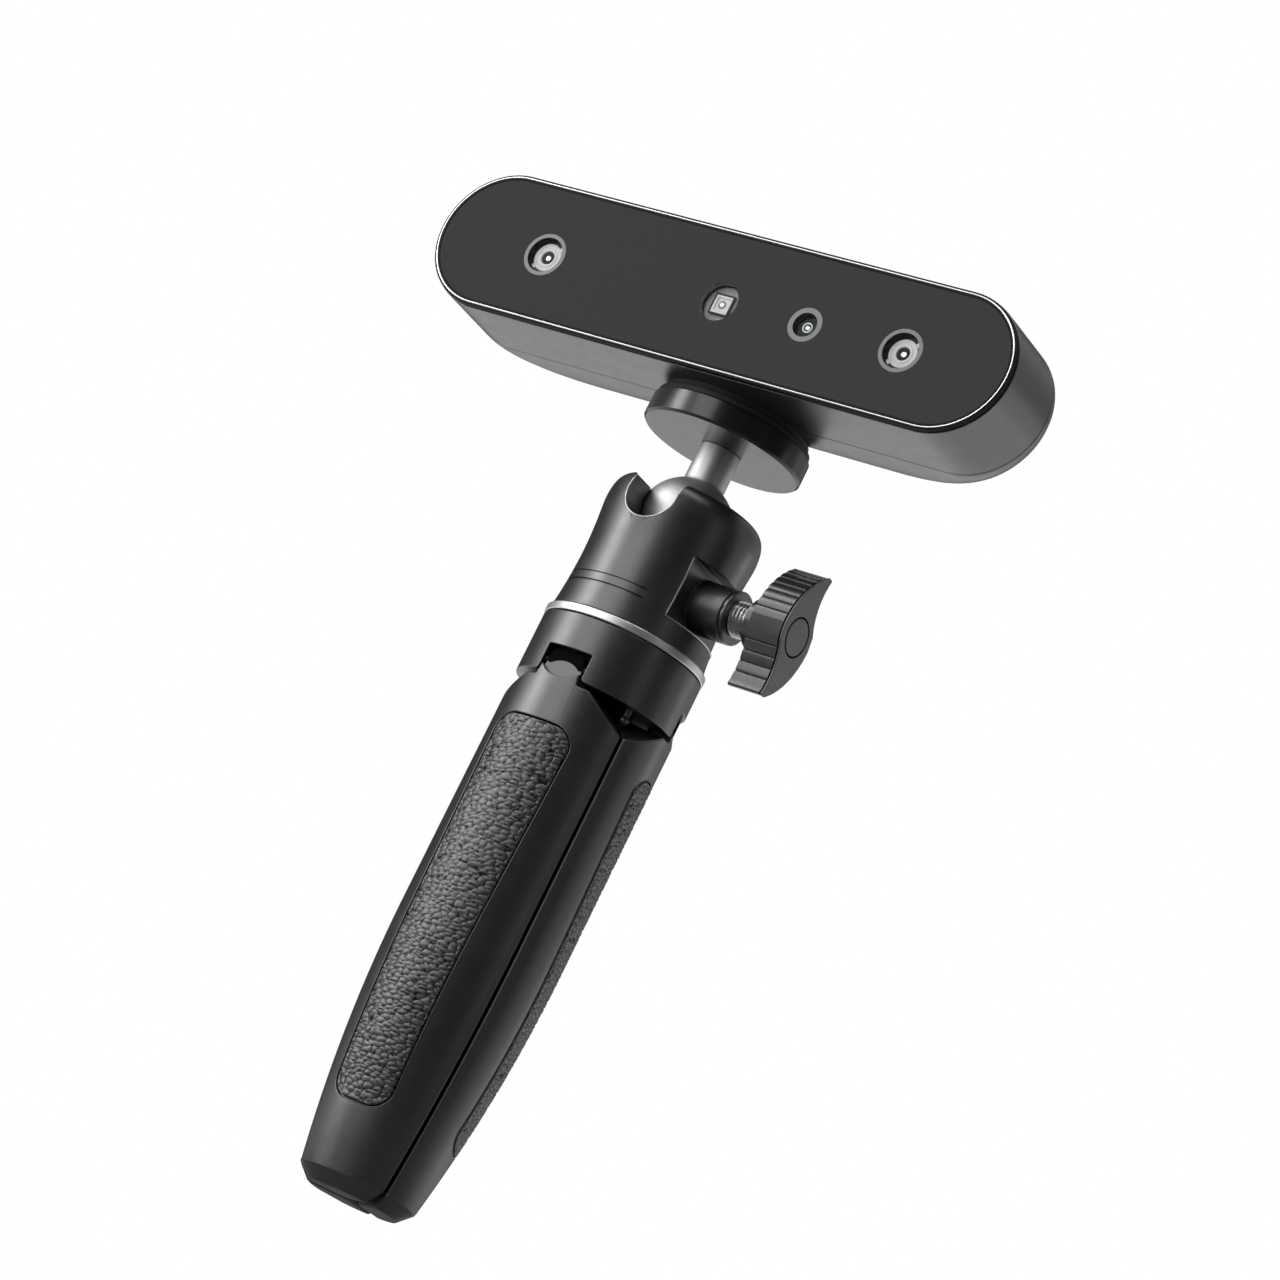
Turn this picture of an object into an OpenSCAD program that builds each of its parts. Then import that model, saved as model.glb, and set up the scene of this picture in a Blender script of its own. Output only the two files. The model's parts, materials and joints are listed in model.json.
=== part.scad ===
// Handheld structured-light scanner: a bar-shaped head on a folding three-legged grip.
// The origin is on the handle's axis, on the surface that the closed feet stand on.
// +Z runs up the handle, -Y is the way the lenses look and +X is the lock knob's side.

/* [Scanner head] */
// Length of the head
head_len = 155; // [148:1:175]
// Height of the head
head_h = 34.2; // [32:0.1:40]
// Depth of the front shell's straight wall
shell_depth = 20.1; // [19.5:0.1:26]
// Depth of the domed rear cover at its middle
dome_depth = 13.9; // [13.5:0.1:18]
// Length at each end over which the dome curves forward
dome_end = 33; // [24:1:33]
// How much the dome draws in at its top and bottom
dome_edge = 2; // [1:0.1:3]
// Wall of the two shells
shell_wall = 1.8; // [1.4:0.1:2]
// Distance from the handle's axis forward to the bezel's front
front_reach = 24.8; // [23.5:0.1:26]
// Distance of the head's middle to the left of the handle's axis
head_offset = 2.7; // [0:0.1:4]

/* [Front face] */
// Width of the dark ledge round the bezel
ledge_w = 0.65; // [0.4:0.05:1]
// How far the bezel stands in front of the shell
bezel_depth = 1.5; // [1.2:0.1:1.9]
// Width of the bright bezel
bezel_w = 0.7; // [0.5:0.05:1]
// Thickness of the front glass
glass_t = 1.3; // [0.8:0.1:1.3]
// Recess of the glass behind the bezel
glass_recess = 0.15; // [0.05:0.05:0.3]
// Distance of the left camera from the head's left end
left_camera_inset = 30.1; // [27.5:0.1:32.5]
// Place of the pattern projector along the head
projector_x = 1.2; // [-2:0.1:4]
// Place of the colour camera along the head
colour_camera_x = 24.4; // [20:0.1:28]
// Distance of the right camera from the head's right end
right_camera_inset = 27.9; // [26.5:0.1:31.5]
// Distance of the lenses below the head's middle
lens_drop = 0.6; // [0:0.1:1.5]
// Radius of the two depth camera windows
camera_window_r = 5.3; // [5:0.1:5.6]
// Radius of the projector's window
projector_window_r = 4.7; // [4.4:0.1:5]
// Radius of the colour camera's window
colour_window_r = 4.2; // [4:0.1:5]

/* [Controls and socket on the back] */
// Radius of the start button
start_button_r = 5.5; // [4.5:0.1:6]
// Radius of the two brightness buttons
side_button_r = 3.5; // [3:0.1:3.8]
// Distance between button centres
button_pitch = 13; // [12:0.5:14]
// How far a button can be pressed
button_travel = 0.6; // [0.4:0.1:0.6]
// Distance of the charging socket from the middle of the back
socket_x = 36; // [35:0.1:38]
// Width of the charging socket
socket_w = 8.9; // [8.4:0.1:9.4]
// Height of the charging socket
socket_h = 3.2; // [3:0.1:3.6]
// Distance of the status light from the middle of the back
light_x = 31; // [29:0.1:34]

/* [Platform] */
// Radius of the platform disc
disc_r = 19.2; // [17:0.1:21]
// Thickness of the platform disc
disc_t = 5.8; // [5.5:0.1:8]
// Radius of the rubber pad's lower tier
pad_r = 18.6; // [15:0.1:20]
// Thickness of the rubber pad
pad_t = 3; // [2.4:0.1:4]
// Radius of the quarter-inch camera screw
screw_r = 3.175; // [3.17:0.005:3.18]
// How far the camera screw reaches into the head
screw_reach = 5.5; // [4.5:0.1:6]
// Depth to which the camera screw is seated in the disc
screw_seat = 1.5; // [1.2:0.1:1.8]

/* [Ball head] */
// Radius of the ball
ball_r = 11; // [10.6:0.1:11.2]
// Radius of the stem
stem_r = 4.85; // [4.4:0.05:5]
// Distance from the ball's centre up to the platform
stem_len = 19; // [19:0.1:26]
// Height of the ball housing
housing_h = 36.7; // [36.2:0.1:40]
// Radius of the housing at its flare
housing_r = 18.4; // [18:0.1:18.5]
// Radius of the housing at its waist
waist_r = 17.65; // [17.4:0.05:18]
// Height of the ball's centre below the housing's top
ball_sink = 7; // [6.8:0.1:7.2]
// Radius of the opening round the ball
mouth_r = 9.4; // [9.2:0.1:9.6]
// Half width of the drop notch
notch_r = 6.35; // [5.9:0.05:6.6]
// Play between the ball and its socket
ball_gap = 0.3; // [0.25:0.01:0.35]
// Distance of the lock screw below the ball's centre
lock_drop = 17; // [16.9:0.1:17.3]

/* [Lock knob] */
// Radius of the boss on the housing
boss_r = 6.2; // [5.6:0.1:6.6]
// Distance from the handle's axis to the boss's end
boss_reach = 23.6; // [22:0.1:24]
// Distance from the handle's axis to the knob's outer face
knob_reach = 39.6; // [38:0.1:42]
// Thickness of the knob's wings
wing_t = 9.4; // [8:0.1:10]
// Half of the knob's span
wing_span = 15.6; // [14.6:0.1:16.5]
// Radius of the knob's end cap
cap_r = 4.25; // [3.6:0.05:4.6]
// Radius of the lock screw's core
lock_screw_r = 2.95; // [2.5:0.05:2.95]

/* [Leg hub] */
// Radius of the hub
hub_r = 19.2; // [19:0.1:20]
// Height of the hub
hub_h = 14.4; // [13:0.1:18]
// Gap between the hub and the shoulders of the legs
hub_gap = 1.2; // [1:0.1:1.6]
// Height of the bright ring
ring_h = 2.2; // [1.6:0.1:3]
// How far the bright ring stands proud of the hub
ring_proud = 0.2; // [0.05:0.05:0.3]
// Half width of the notch above each leg
hub_notch_w = 5.8; // [5:0.1:6.2]
// Height of the notch above each leg
hub_notch_h = 6.3; // [6:0.1:7.5]
// Distance from the handle's axis to each leg's hinge pin
pivot_r = 16.6; // [16.4:0.1:16.8]
// Height of the hinge pins above the hub's rim
pivot_height = 2.8; // [2.6:0.1:2.9]
// Radius of the hinge pins
pin_r = 1; // [0.8:0.05:1.1]

/* [Legs] */
// Height of the shoulders of the closed legs
leg_len = 119.8; // [110:0.1:140]
// Radius of the closed legs
leg_r = 19.3; // [19.1:0.1:20]
// How much the radius shrinks down to the feet
leg_taper = 6.1; // [4:0.1:6.5]
// Height at which the legs begin to narrow
taper_z = 64.3; // [50:0.1:80]
// Gap between two closed legs
leg_gap = 0.52; // [0.4:0.02:0.8]
// Height of the feet
foot_h = 3.6; // [3:0.1:5]
// Height of the bottom of the grip pads
pad_bottom = 18.3; // [15:0.1:30]
// Distance of the pads' top below the shoulders
pad_drop = 10; // [9.5:0.1:20]
// Half width of a pad at its top
pad_top_w = 10; // [8:0.1:10.5]
// Half width of a pad at its bottom
pad_bottom_w = 7.2; // [5:0.1:7.5]
// Depth of the recess that holds a pad
pad_depth = 1.1; // [0.6:0.1:1.4]

/* [Hidden] */

$fn = 96;
slim = 0.05;
seat_gap = 0.1;
joint_gap = 0.3;

// Heights along the handle
hub_z = leg_len + hub_gap;
ring_z = hub_z + hub_h;
housing_z = ring_z + ring_h;
housing_top = housing_z + housing_h;
ball_z = housing_top - ball_sink;
disc_z = ball_z + stem_len;
pad_z = disc_z + disc_t;
head_z0 = pad_z + pad_t;
head_z = head_z0 + head_h / 2;
lock_z = ball_z - lock_drop;
pivot_z = hub_z + pivot_height;
bore_floor_z = lock_z - 3.8;
screw_z = pad_z - screw_seat;
clip_z = disc_z + 1.8;

// Places across the head
front_y = -front_reach;
shell_front_y = front_y + bezel_depth;
shell_back_y = shell_front_y + shell_depth;
dome_y = shell_back_y + dome_depth;
glass_front_y = front_y + glass_recess;
glass_back_y = glass_front_y + glass_t;
bezel_len = head_len - 2 * ledge_w;
bezel_h = head_h - 2 * ledge_w;
cavity_len = head_len - 2 * shell_wall;
cavity_h = head_h - 2 * shell_wall;
left_camera_x = left_camera_inset - head_len / 2;
right_camera_x = head_len / 2 - right_camera_inset;
WINDOWS = [[left_camera_x, camera_window_r], [projector_x, projector_window_r],
    [colour_camera_x, colour_window_r], [right_camera_x, camera_window_r]];

// Pieces inside the head, front to back
cavity_play = 0.1;
insert_len = cavity_len - 2 * cavity_play;
insert_h = cavity_h - 2 * cavity_play;
frame_plate_t = 1.2;
frame_rim_t = 1.2;
frame_back_y = glass_back_y + slim + frame_plate_t;
barrel_front_y = glass_back_y + seat_gap;
chassis_depth = 5.8;
chassis_y = shell_front_y + chassis_depth;
chassis_t = 2;
camera_base_t = 3;
camera_base_w = 12.4;
camera_back_y = chassis_y + chassis_t + camera_base_t;
camera_board_t = 1;
camera_r = 3.5;
camera_bore_r = 1.5;
colour_camera_r = 3;
colour_bore_r = 1.3;
lens_recess = 0.4;
projector_lens_recess = 0.2;
lens_t = 1.5;
barrel_bore_depth = 2;
projector_r = 4;
projector_bore_r = 1.4;
projector_frame_w = 5;
projector_frame_t = 1;
projector_step = 0.6;
board_air = 0.8;
main_board_y = camera_back_y + camera_board_t + board_air;
board_t = 1.6;
board_margin_x = 3;
board_margin_z = 2;
spreader_t = 3;
spreader_base_t = 1.2;
spreader_w = 62;
spreader_h = 10;
spreader_z = 7;
fin_t = 1.2;
fin_pitch = 4;
rear_board_drop = 9.2;
rear_board_y = dome_y - rear_board_drop;
rear_board_t = 1.2;
rear_board_h = 11;
rear_board_edge = 1.55;
rear_board_x0 = -light_x - 5;
rear_board_x1 = socket_x + socket_w / 2 + rear_board_edge;
rear_parts_y = rear_board_y + rear_board_t + slim;
switch_t = 1.7;
switch_w = 4.4;
switch_key_r = 1.1;
switch_key_t = 0.5;
button_proud = 0.5;
button_flange_w = 0.6;
button_flange_t = 0.9;
button_stem_r = 1.4;
button_gap = 0.2;
socket_gap = 0.15;
socket_wall = 0.35;
socket_recess = 0.3;
tongue_t = 0.7;
tongue_margin = 1.3;
tongue_recess = 1.6;
light_r = 1.2;
light_gap = 0.1;
lip_len = 1.8;
lip_t = 1.2;
post_r = 2.6;
post_x = 40;
post_z = 10.2;
post_foot_r = 3.1;
peg_x = 25;
peg_r = 0.8;
peg_shoulder_r = 1.5;
peg_len = 0.5;
screw_core_r = 1;
screw_head_r = 1.9;
screw_head_t = 1.2;
screw_hex_r = 0.8;
screw_tip = 6;
screw_head_y = dome_y - shell_wall - 1.35;
block_half_w = 9;
block_h = 10.4;
block_front = 5.6;
block_back = 4.8;

// Ball head
socket_r = ball_r + ball_gap;
cup_t = 2;
cup_r = socket_r + cup_t;
cup_room_r = cup_r + joint_gap;
cup_angle = 50;
shelf_angle = 70;
shoulder_z = housing_h - 9.7;
// Outline of the housing's side: how far each point stands out from the waist, and its height
SIDE_OUTLINE = [[1.05, 0], [0.55, 3.5], [0.15, 9], [0, 15], [0.25, 21]];
// Outline of the housing's shoulder: how far each point lies in from the flare, and its height
SHOULDER_OUTLINE = [[0, 0], [0.05, 2.5], [0.34, 4.75], [1.2, 6.2], [2.5, 7.35], [4, 8.25],
    [5.6, 8.95], [7.6, 9.45]];
mouth_rim = 0.3;
GROOVE_HEIGHTS = [6.4, 8.5];
groove_proud = 0.25;
boss_flange_t = 1;
boss_groove_w = 0.3;
boss_groove_depth = 0.4;
facet_x = 13.8;
facet_half_h = 7.5;
ramp_angle = 28;
ramp_x = 4.5;
ramp_rise = 2.2;
plunger_r = 4.5;
plunger_foot = 3.6;
slider_r = 3;
slider_in_x = -5.2;
slider_out_x = 9;
nib_r = 2;
nib_len = 2;
spigot_r = 3.2;
spigot_len = 3.5;
pad_step = 1;
pad_tier_h = 1.5;
clip_r = 5;
clip_t = 0.8;
hub_spigot_r = 14;
hub_neck_r = 12.4;
hub_neck_h = 4;
bolt_r = 3;
bolt_head_r = 5;
bolt_head_h = 3.5;
bolt_hex_r = 2.9;
bolt_hex_depth = 2.2;
stud_r = 1.2;
stud_neck_r = 0.8;
stud_len = 2.4;
stud_place_r = 15;
pin_half_len = 8.4;
core_r = 8.6;
core_h = 7;
knuckle_r = 3.1;
knuckle_half_w = hub_notch_w - joint_gap;
knuckle_front = 1.4;
shoulder_in_x = pin_half_len;
shoulder_out_x = 17.6;
shoulder_drop = 6.8;
channel_low = 8;
channel_top = 11;
channel_half_w = 5;
leg_wall = 4.4;
pad_groove = 0.35;
foot_rim = 0.9;
foot_flat = 2.6;
foot_peg_w = 4;
foot_peg_y = 8;
bore_play = 0.05;
leg_shift = leg_gap / 2 / sin(60);
groove_w = 0.5;
groove_depth = 0.35;
thread_pitches = 6;
hub_knob_r = 6.3;
knob_neck_len = 1.6;
tip_r = 0.7;
cap_t = 1.15;
cap_gap = 0.2;
LEG_ANGLES = [0, 120, 240];

// Radius of the closed legs at a height
function leg_radius(z) =
    z >= taper_z ? leg_r : leg_r - leg_taper * pow((taper_z - z) / taper_z, 2);
// Heights at which the outline of a leg has a point
function leg_heights(z0, z1, n = 14) = [for (i = [0:n]) z0 + (z1 - z0) * i / n];
// Points of an arc
function arc(cx, cy, r, a0, a1, n = 7) =
    [for (i = [0:n]) let (a = a0 + (a1 - a0) * i / n) [cx + r * cos(a), cy + r * sin(a)]];
// Outline of a grip pad, grown by g on every side
function pad_outline(g) =
    let (top = leg_len - pad_drop + g, low = pad_bottom - g, wt = pad_top_w + g, wb = pad_bottom_w + g,
        rt = 4.6 + g, rb = 4.8 + g)
    concat(arc(wt - rt, top - rt, rt, 0, 90), arc(-wt + rt, top - rt, rt, 90, 180),
        arc(-wb + rb, low + rb, rb, 180, 270), arc(wb - rb, low + rb, rb, 270, 360));
// Sag of the dome's outline: share of a quarter ellipse
function dome_len(s) = head_len - 2 * dome_end * (1 - cos(s));
function dome_h(s) = head_h - 2 * dome_edge * (1 - cos(s));

// A round-ended bar, lying along X
module stadium(l, h) {
    translate([-(l - h) / 2, 0]) circle(h / 2);
    translate([(l - h) / 2, 0]) circle(h / 2);
    square([l - h, h], center = true);
}

// Extrudes an outline drawn in X and Z from y0 to y1
module along_y(y0, y1) {
    translate([0, y1, 0]) rotate([90, 0, 0]) linear_extrude(y1 - y0) children();
}

// Extrudes an outline drawn in Y and Z from x0 to x1
module along_x(x0, x1) {
    translate([x0, 0, 0]) rotate([90, 0, 90]) linear_extrude(x1 - x0) children();
}

// Moves to the middle of the head
module at_head() {
    translate([-head_offset, 0, head_z]) children();
}

// A rod along Y at a place on the head
module head_rod(x, z, r, y0, y1) {
    translate([x, 0, z]) along_y(y0, y1) circle(r);
}

// The places of the four posts that the cover is screwed to
module at_posts() {
    for (x = [-post_x, post_x], z = [-post_z, post_z]) translate([x, 0, z]) children();
}

// A box along Y at a place on the head
module head_box(x, z, w, h, y0, y1) {
    translate([x, 0, z]) along_y(y0, y1) square([w, h], center = true);
}

// A rod along X at the height of the lock screw
module lock_rod(r, x0, x1) {
    translate([x0, 0, lock_z]) rotate([0, 90, 0]) cylinder(r = r, h = x1 - x0);
}

// Everything above the wedge's ramp
module above_ramp(gap) {
    translate([ramp_x, -20, lock_z + ramp_rise + gap]) rotate([0, -ramp_angle, 0])
        translate([-30, 0, 0]) cube([60, 40, 30]);
}

// The boss round the lock screw, from x0 to its grooved end
module boss(x0) {
    lock_rod(boss_r, x0, boss_reach - boss_flange_t - boss_groove_w);
    lock_rod(boss_r - boss_groove_depth, x0, boss_reach);
    lock_rod(boss_r, boss_reach - boss_flange_t, boss_reach);
}

module ball_housing() {
    color("#242424") difference() {
        union() {
            translate([0, 0, housing_z]) rotate_extrude() polygon(concat([[0, 0]],
                [for (p = SIDE_OUTLINE) [waist_r + p[0], p[1]]],
                [for (p = SHOULDER_OUTLINE) [housing_r - p[0], shoulder_z + p[1]]],
                [[mouth_r + mouth_rim, housing_h], [0, housing_h]]));
            boss(facet_x - 1);
        }
        difference() {
            translate([facet_x, -20, lock_z - facet_half_h]) cube([20, 40, 2 * facet_half_h]);
            boss(0);
        }
        for (z = GROOVE_HEIGHTS)
            translate([0, 0, housing_z + z - groove_w / 2]) rotate([0, 0, 170])
                rotate_extrude(angle = 130) translate([waist_r + groove_proud - groove_depth, 0])
                    square([3, groove_w]);
        translate([0, 0, ball_z]) sphere(socket_r);
        translate([0, 0, ball_z]) cylinder(r = mouth_r, h = ball_sink + 1);
        intersection() {
            translate([0, 0, ball_z]) sphere(cup_room_r);
            translate([0, 0, ball_z - 2 * cup_r - cup_room_r * cos(shelf_angle)])
                cylinder(r = 20, h = 2 * cup_r);
        }
        translate([0, 0, ball_z]) rotate([90, 0, 0]) cylinder(r = notch_r, h = 25);
        translate([-notch_r, -25, ball_z]) cube([2 * notch_r, 25, 20]);
        translate([0, 0, bore_floor_z])
            cylinder(r = plunger_r + bore_play, h = ball_z - ball_r - 2 - bore_floor_z);
        lock_rod(slider_r + bore_play, slider_in_x - 1.3, boss_reach + 1);
        translate([0, 0, housing_z - 1]) cylinder(r = hub_neck_r + seat_gap, h = hub_neck_h + 1.2);
        translate([0, 0, housing_z - 1])
            cylinder(r = bolt_r + bore_play, h = bore_floor_z + 1.2 - housing_z);
    }
}

module silver_ring() {
    color("#d8d8d8") translate([0, 0, ring_z]) difference() {
        cylinder(r = hub_r + ring_proud, h = ring_h);
        translate([0, 0, -1]) cylinder(r = hub_spigot_r + slim, h = ring_h + 2);
    }
}

module leg_hub() {
    rim = 0.45;
    color("#262626") difference() {
        translate([0, 0, hub_z]) rotate_extrude() polygon([[0, 0], [hub_r - rim, 0], [hub_r, rim],
            [hub_r, hub_h - rim], [hub_r - rim, hub_h], [hub_spigot_r, hub_h],
            [hub_spigot_r, hub_h + ring_h],
            [hub_neck_r, hub_h + ring_h], [hub_neck_r, hub_h + ring_h + hub_neck_h],
            [0, hub_h + ring_h + hub_neck_h]]);
        for (a = LEG_ANGLES) rotate([0, 0, a]) {
            translate([-hub_notch_w, -hub_r - 1, hub_z - 1])
                cube([2 * hub_notch_w, hub_r + 1 - pivot_r + knuckle_r + 0.6, hub_notch_h + 1]);
            translate([-pin_half_len - 0.2, -pivot_r, pivot_z]) rotate([0, 90, 0])
                cylinder(r = pin_r + bore_play, h = 2 * (pin_half_len + 0.2));
        }
        translate([0, 0, hub_z - 1]) cylinder(r = bolt_r + bore_play, h = hub_h + 20);
    }
}

module hub_core() {
    color("#1c1c1c") translate([0, 0, hub_z - core_h]) difference() {
        rotate_extrude() polygon([[0, 0], [core_r - 1, 0], [core_r, 1], [core_r, core_h], [0, core_h]]);
        translate([0, 0, -1]) cylinder(r = bolt_r + bore_play, h = core_h + 2);
    }
}

module hub_bolt() {
    bolt_top = bore_floor_z - 0.2 - (hub_z - core_h);
    color("#8f9094") translate([0, 0, hub_z - core_h]) difference() {
        union() {
            cylinder(r = bolt_r, h = bolt_top);
            translate([0, 0, -bolt_head_h]) cylinder(r = bolt_head_r, h = bolt_head_h);
        }
        translate([0, 0, -bolt_head_h - 1]) cylinder(r = bolt_hex_r, h = bolt_hex_depth + 1, $fn = 6);
    }
}

module leg_pins() {
    color("#a8a8ac") for (a = LEG_ANGLES) rotate([0, 0, a])
        translate([-pin_half_len, -pivot_r, pivot_z]) rotate([0, 90, 0])
            cylinder(r = pin_r, h = 2 * pin_half_len);
}

module detent_studs() {
    color("#2e2e2e") for (a = LEG_ANGLES) rotate([0, 0, a + 62])
        translate([0, -stud_place_r, hub_z - stud_len]) {
            cylinder(r = stud_neck_r, h = stud_len);
            sphere(stud_r);
        }
}

// A third of a round body about the handle's axis, for the leg that faces -Y
module third() {
    translate([0, -leg_shift, 0]) rotate([0, 0, -150]) rotate_extrude(angle = 120) children();
}

module leg(angle) {
    zs = leg_heights(foot_h, leg_len);
    channel_z0 = foot_h + channel_low;
    channel_z1 = leg_len - channel_top;
    color("#202020") rotate([0, 0, angle]) difference() {
        union() {
            third() polygon(concat([for (z = zs) [leg_radius(z) - leg_shift, z]],
                [[core_r + 0.6, leg_len], [core_r + 0.6, channel_z1], [7, channel_z1], [7, channel_z0],
                    [0.4, channel_z0], [0.4, foot_h]]));
            intersection() {
                union() {
                    translate([-knuckle_half_w, -pivot_r, pivot_z]) rotate([0, 90, 0])
                        cylinder(r = knuckle_r, h = 2 * knuckle_half_w);
                    translate([-knuckle_half_w, -leg_r - 1, leg_len - 2])
                        cube([2 * knuckle_half_w, leg_r - pivot_r + 3.6,
                            hub_gap + pivot_height + 2 - knuckle_front]);
                }
                cylinder(r = hub_r - 0.1, h = 200);
            }
        }
        for (s = [0, 1]) mirror([s, 0, 0]) along_y(-30, 0)
            polygon([[shoulder_in_x, leg_len + 1], [shoulder_in_x, leg_len],
                [shoulder_out_x, leg_len - shoulder_drop], [30, leg_len - shoulder_drop],
                [30, leg_len + 1]]);
        translate([-10, -pivot_r, pivot_z]) rotate([0, 90, 0]) cylinder(r = pin_r + bore_play, h = 20);
        intersection() {
            third() polygon(concat([for (z = leg_heights(foot_h + 1, leg_len - 1))
                [leg_radius(z) - leg_shift - pad_depth, z]], [[40, leg_len - 1], [40, foot_h + 1]]));
            along_y(-40, 0) polygon(pad_outline(pad_groove));
        }
        intersection() {
            third() polygon(concat([for (z = leg_heights(channel_z0 + 3, channel_z1 - 6))
                [leg_radius(z) - leg_wall, z]], [[0, channel_z1 - 6], [0, channel_z0 + 3]]));
            translate([-channel_half_w, -40, 0]) cube([2 * channel_half_w, 40, leg_len]);
        }
        foot_peg(seat_gap);
    }
}

// The peg that a foot is held by, grown by g on every side
module foot_peg(g) {
    translate([-foot_peg_w / 2 - g, -foot_peg_y - g, foot_h - 0.2 - g])
        cube([foot_peg_w + 2 * g, foot_peg_w + 2 * g, foot_peg_w + 2 * g]);
}

module grip_pad(angle) {
    zs = leg_heights(foot_h + 1, leg_len - 1);
    color("#4c4c52") rotate([0, 0, angle]) intersection() {
        third() polygon(concat([for (z = zs) [leg_radius(z) - leg_shift + 0.1, z]],
            [for (i = [len(zs) - 1:-1:0]) [leg_radius(zs[i]) - leg_shift - pad_depth + slim, zs[i]]]));
        along_y(-40, 0) polygon(pad_outline(0));
    }
}

module foot(angle) {
    color("#2b2b2b") rotate([0, 0, angle]) {
        hull() {
            intersection() {
                translate([0, 0, foot_h - 0.02]) third() square([leg_radius(foot_h) - leg_shift, 0.02]);
            }
            intersection() {
                third() square([leg_radius(0) - foot_rim, 0.02]);
                translate([-20, foot_flat - leg_radius(0), 0]) cube([40, 40, 0.02]);
            }
        }
        foot_peg(0);
    }
}

module seat_cup() {
    color("#c9c6bc") translate([0, 0, ball_z]) difference() {
        intersection() {
            sphere(cup_r);
            translate([0, 0, -3 * cup_r - cup_r * cos(cup_angle)]) cylinder(r = 20, h = 3 * cup_r);
        }
        sphere(socket_r);
    }
}

module ball_stem() {
    color("#b9babd") difference() {
        translate([0, 0, ball_z]) {
            sphere(ball_r);
            cylinder(r = stem_r, h = stem_len - seat_gap);
            cylinder(r = spigot_r, h = stem_len + spigot_len);
        }
        translate([0, 0, clip_z]) difference() {
            cylinder(r = spigot_r + 1, h = clip_t);
            translate([0, 0, -1]) cylinder(r = spigot_r - 0.6, h = 4);
        }
    }
}

module pressure_plunger() {
    color("#9c9ea2") intersection() {
        translate([0, 0, lock_z - plunger_foot])
            cylinder(r = plunger_r, h = ball_z - cup_r - joint_gap - lock_z + plunger_foot);
        above_ramp(seat_gap);
    }
}

module wedge_slider() {
    color("#8a8c90") difference() {
        lock_rod(slider_r, slider_in_x, slider_out_x);
        above_ramp(0);
        lock_rod(nib_r + bore_play, slider_out_x - nib_len - 0.3, slider_out_x + 1);
    }
}

module lock_screw() {
    color("#b08d57") {
        lock_rod(nib_r, slider_out_x - nib_len, slider_out_x + 1);
        lock_rod(lock_screw_r, slider_out_x + seat_gap, knob_reach - cap_t - 0.15);
    }
}

module screw_collar() {
    collar_r = 4.2;
    thread_depth = 0.25;
    x0 = boss_reach + 0.15;
    x1 = knob_reach - wing_t - knob_neck_len;
    pitch = (x1 - x0) / thread_pitches;
    color("#c0a878") translate([x0, 0, lock_z]) rotate([0, 90, 0]) rotate_extrude() polygon(concat(
        [[lock_screw_r + bore_play, 0]],
        [for (i = [0:thread_pitches - 1]) each [[collar_r - thread_depth, i * pitch],
            [collar_r, (i + 0.3) * pitch], [collar_r, (i + 0.7) * pitch]]],
        [[collar_r - thread_depth, x1 - x0], [lock_screw_r + bore_play, x1 - x0]]));
}

// One wing of the knob, drawn in Y and Z about the screw's axis: its back and its hollow front
// are arcs of flats, which end at the tip
module wing_outline() {
    back_r = 18.1;
    back_y = 11.5;
    back_z = 0.5;
    hollow_r = 13.75;
    hollow_y = 16.3;
    hollow_z = 11.7;
    back_tip = 180 - asin((wing_span - back_z) / back_r);
    hollow_tip = 180 - asin((wing_span - hollow_z) / hollow_r);
    offset(tip_r) offset(-tip_r) polygon(concat(arc(back_y, back_z, back_r, 180, back_tip, 7),
        arc(hollow_y, hollow_z, hollow_r, hollow_tip, 221, 6)));
}

module wing_knob() {
    face_x = knob_reach - wing_t;
    color("#303030") difference() {
        union() {
            translate([0, 0, lock_z]) along_x(face_x, knob_reach) {
                circle(hub_knob_r);
                wing_outline();
                rotate(180) wing_outline();
            }
            lock_rod(hub_knob_r - 0.3, face_x - knob_neck_len, face_x + 1);
        }
        lock_rod(lock_screw_r + bore_play, face_x - 3, knob_reach - cap_t - seat_gap / 2);
        lock_rod(cap_r + cap_gap, knob_reach - cap_t - seat_gap / 2, knob_reach + 1);
    }
}

module knob_cap() {
    color("#3a3a3a") lock_rod(cap_r, knob_reach - cap_t, knob_reach);
}

module platform_disc() {
    chamfer = 0.5;
    color("#2a2a2a") difference() {
        translate([0, 0, disc_z]) rotate_extrude() polygon([[0, 0], [disc_r - chamfer, 0],
            [disc_r, chamfer], [disc_r, disc_t - chamfer], [disc_r - chamfer, disc_t], [0, disc_t]]);
        translate([0, 0, disc_z - 1]) cylinder(r = spigot_r + bore_play, h = spigot_len + 1.2);
        translate([0, 0, clip_z - 0.2]) cylinder(r = clip_r + 0.2, h = clip_t + 0.4);
        translate([0, 0, screw_z]) cylinder(r = screw_r + bore_play, h = 5);
    }
}

module swivel_clip() {
    color("#8f9094") translate([0, 0, clip_z]) difference() {
        cylinder(r = clip_r, h = clip_t - 0.2);
        translate([0, 0, -1]) cylinder(r = spigot_r - 0.5, h = 4);
        translate([-1.6, 0, -1]) cube([3.2, 9, 4]);
    }
}

module platform_pad() {
    color("#161616") translate([0, 0, pad_z]) difference() {
        rotate_extrude() polygon([[0, 0], [pad_r - 0.4, 0], [pad_r, 0.3], [pad_r, pad_tier_h - 0.2],
            [pad_r - pad_step, pad_tier_h], [pad_r - pad_step, pad_t], [0, pad_t]]);
        translate([0, 0, -1]) cylinder(r = screw_r + bore_play, h = pad_t + 2);
    }
}

module mount_screw() {
    color("#a9abb0") translate([0, 0, screw_z + seat_gap])
        cylinder(r = screw_r, h = head_z0 + screw_reach - screw_z - seat_gap);
}

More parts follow.
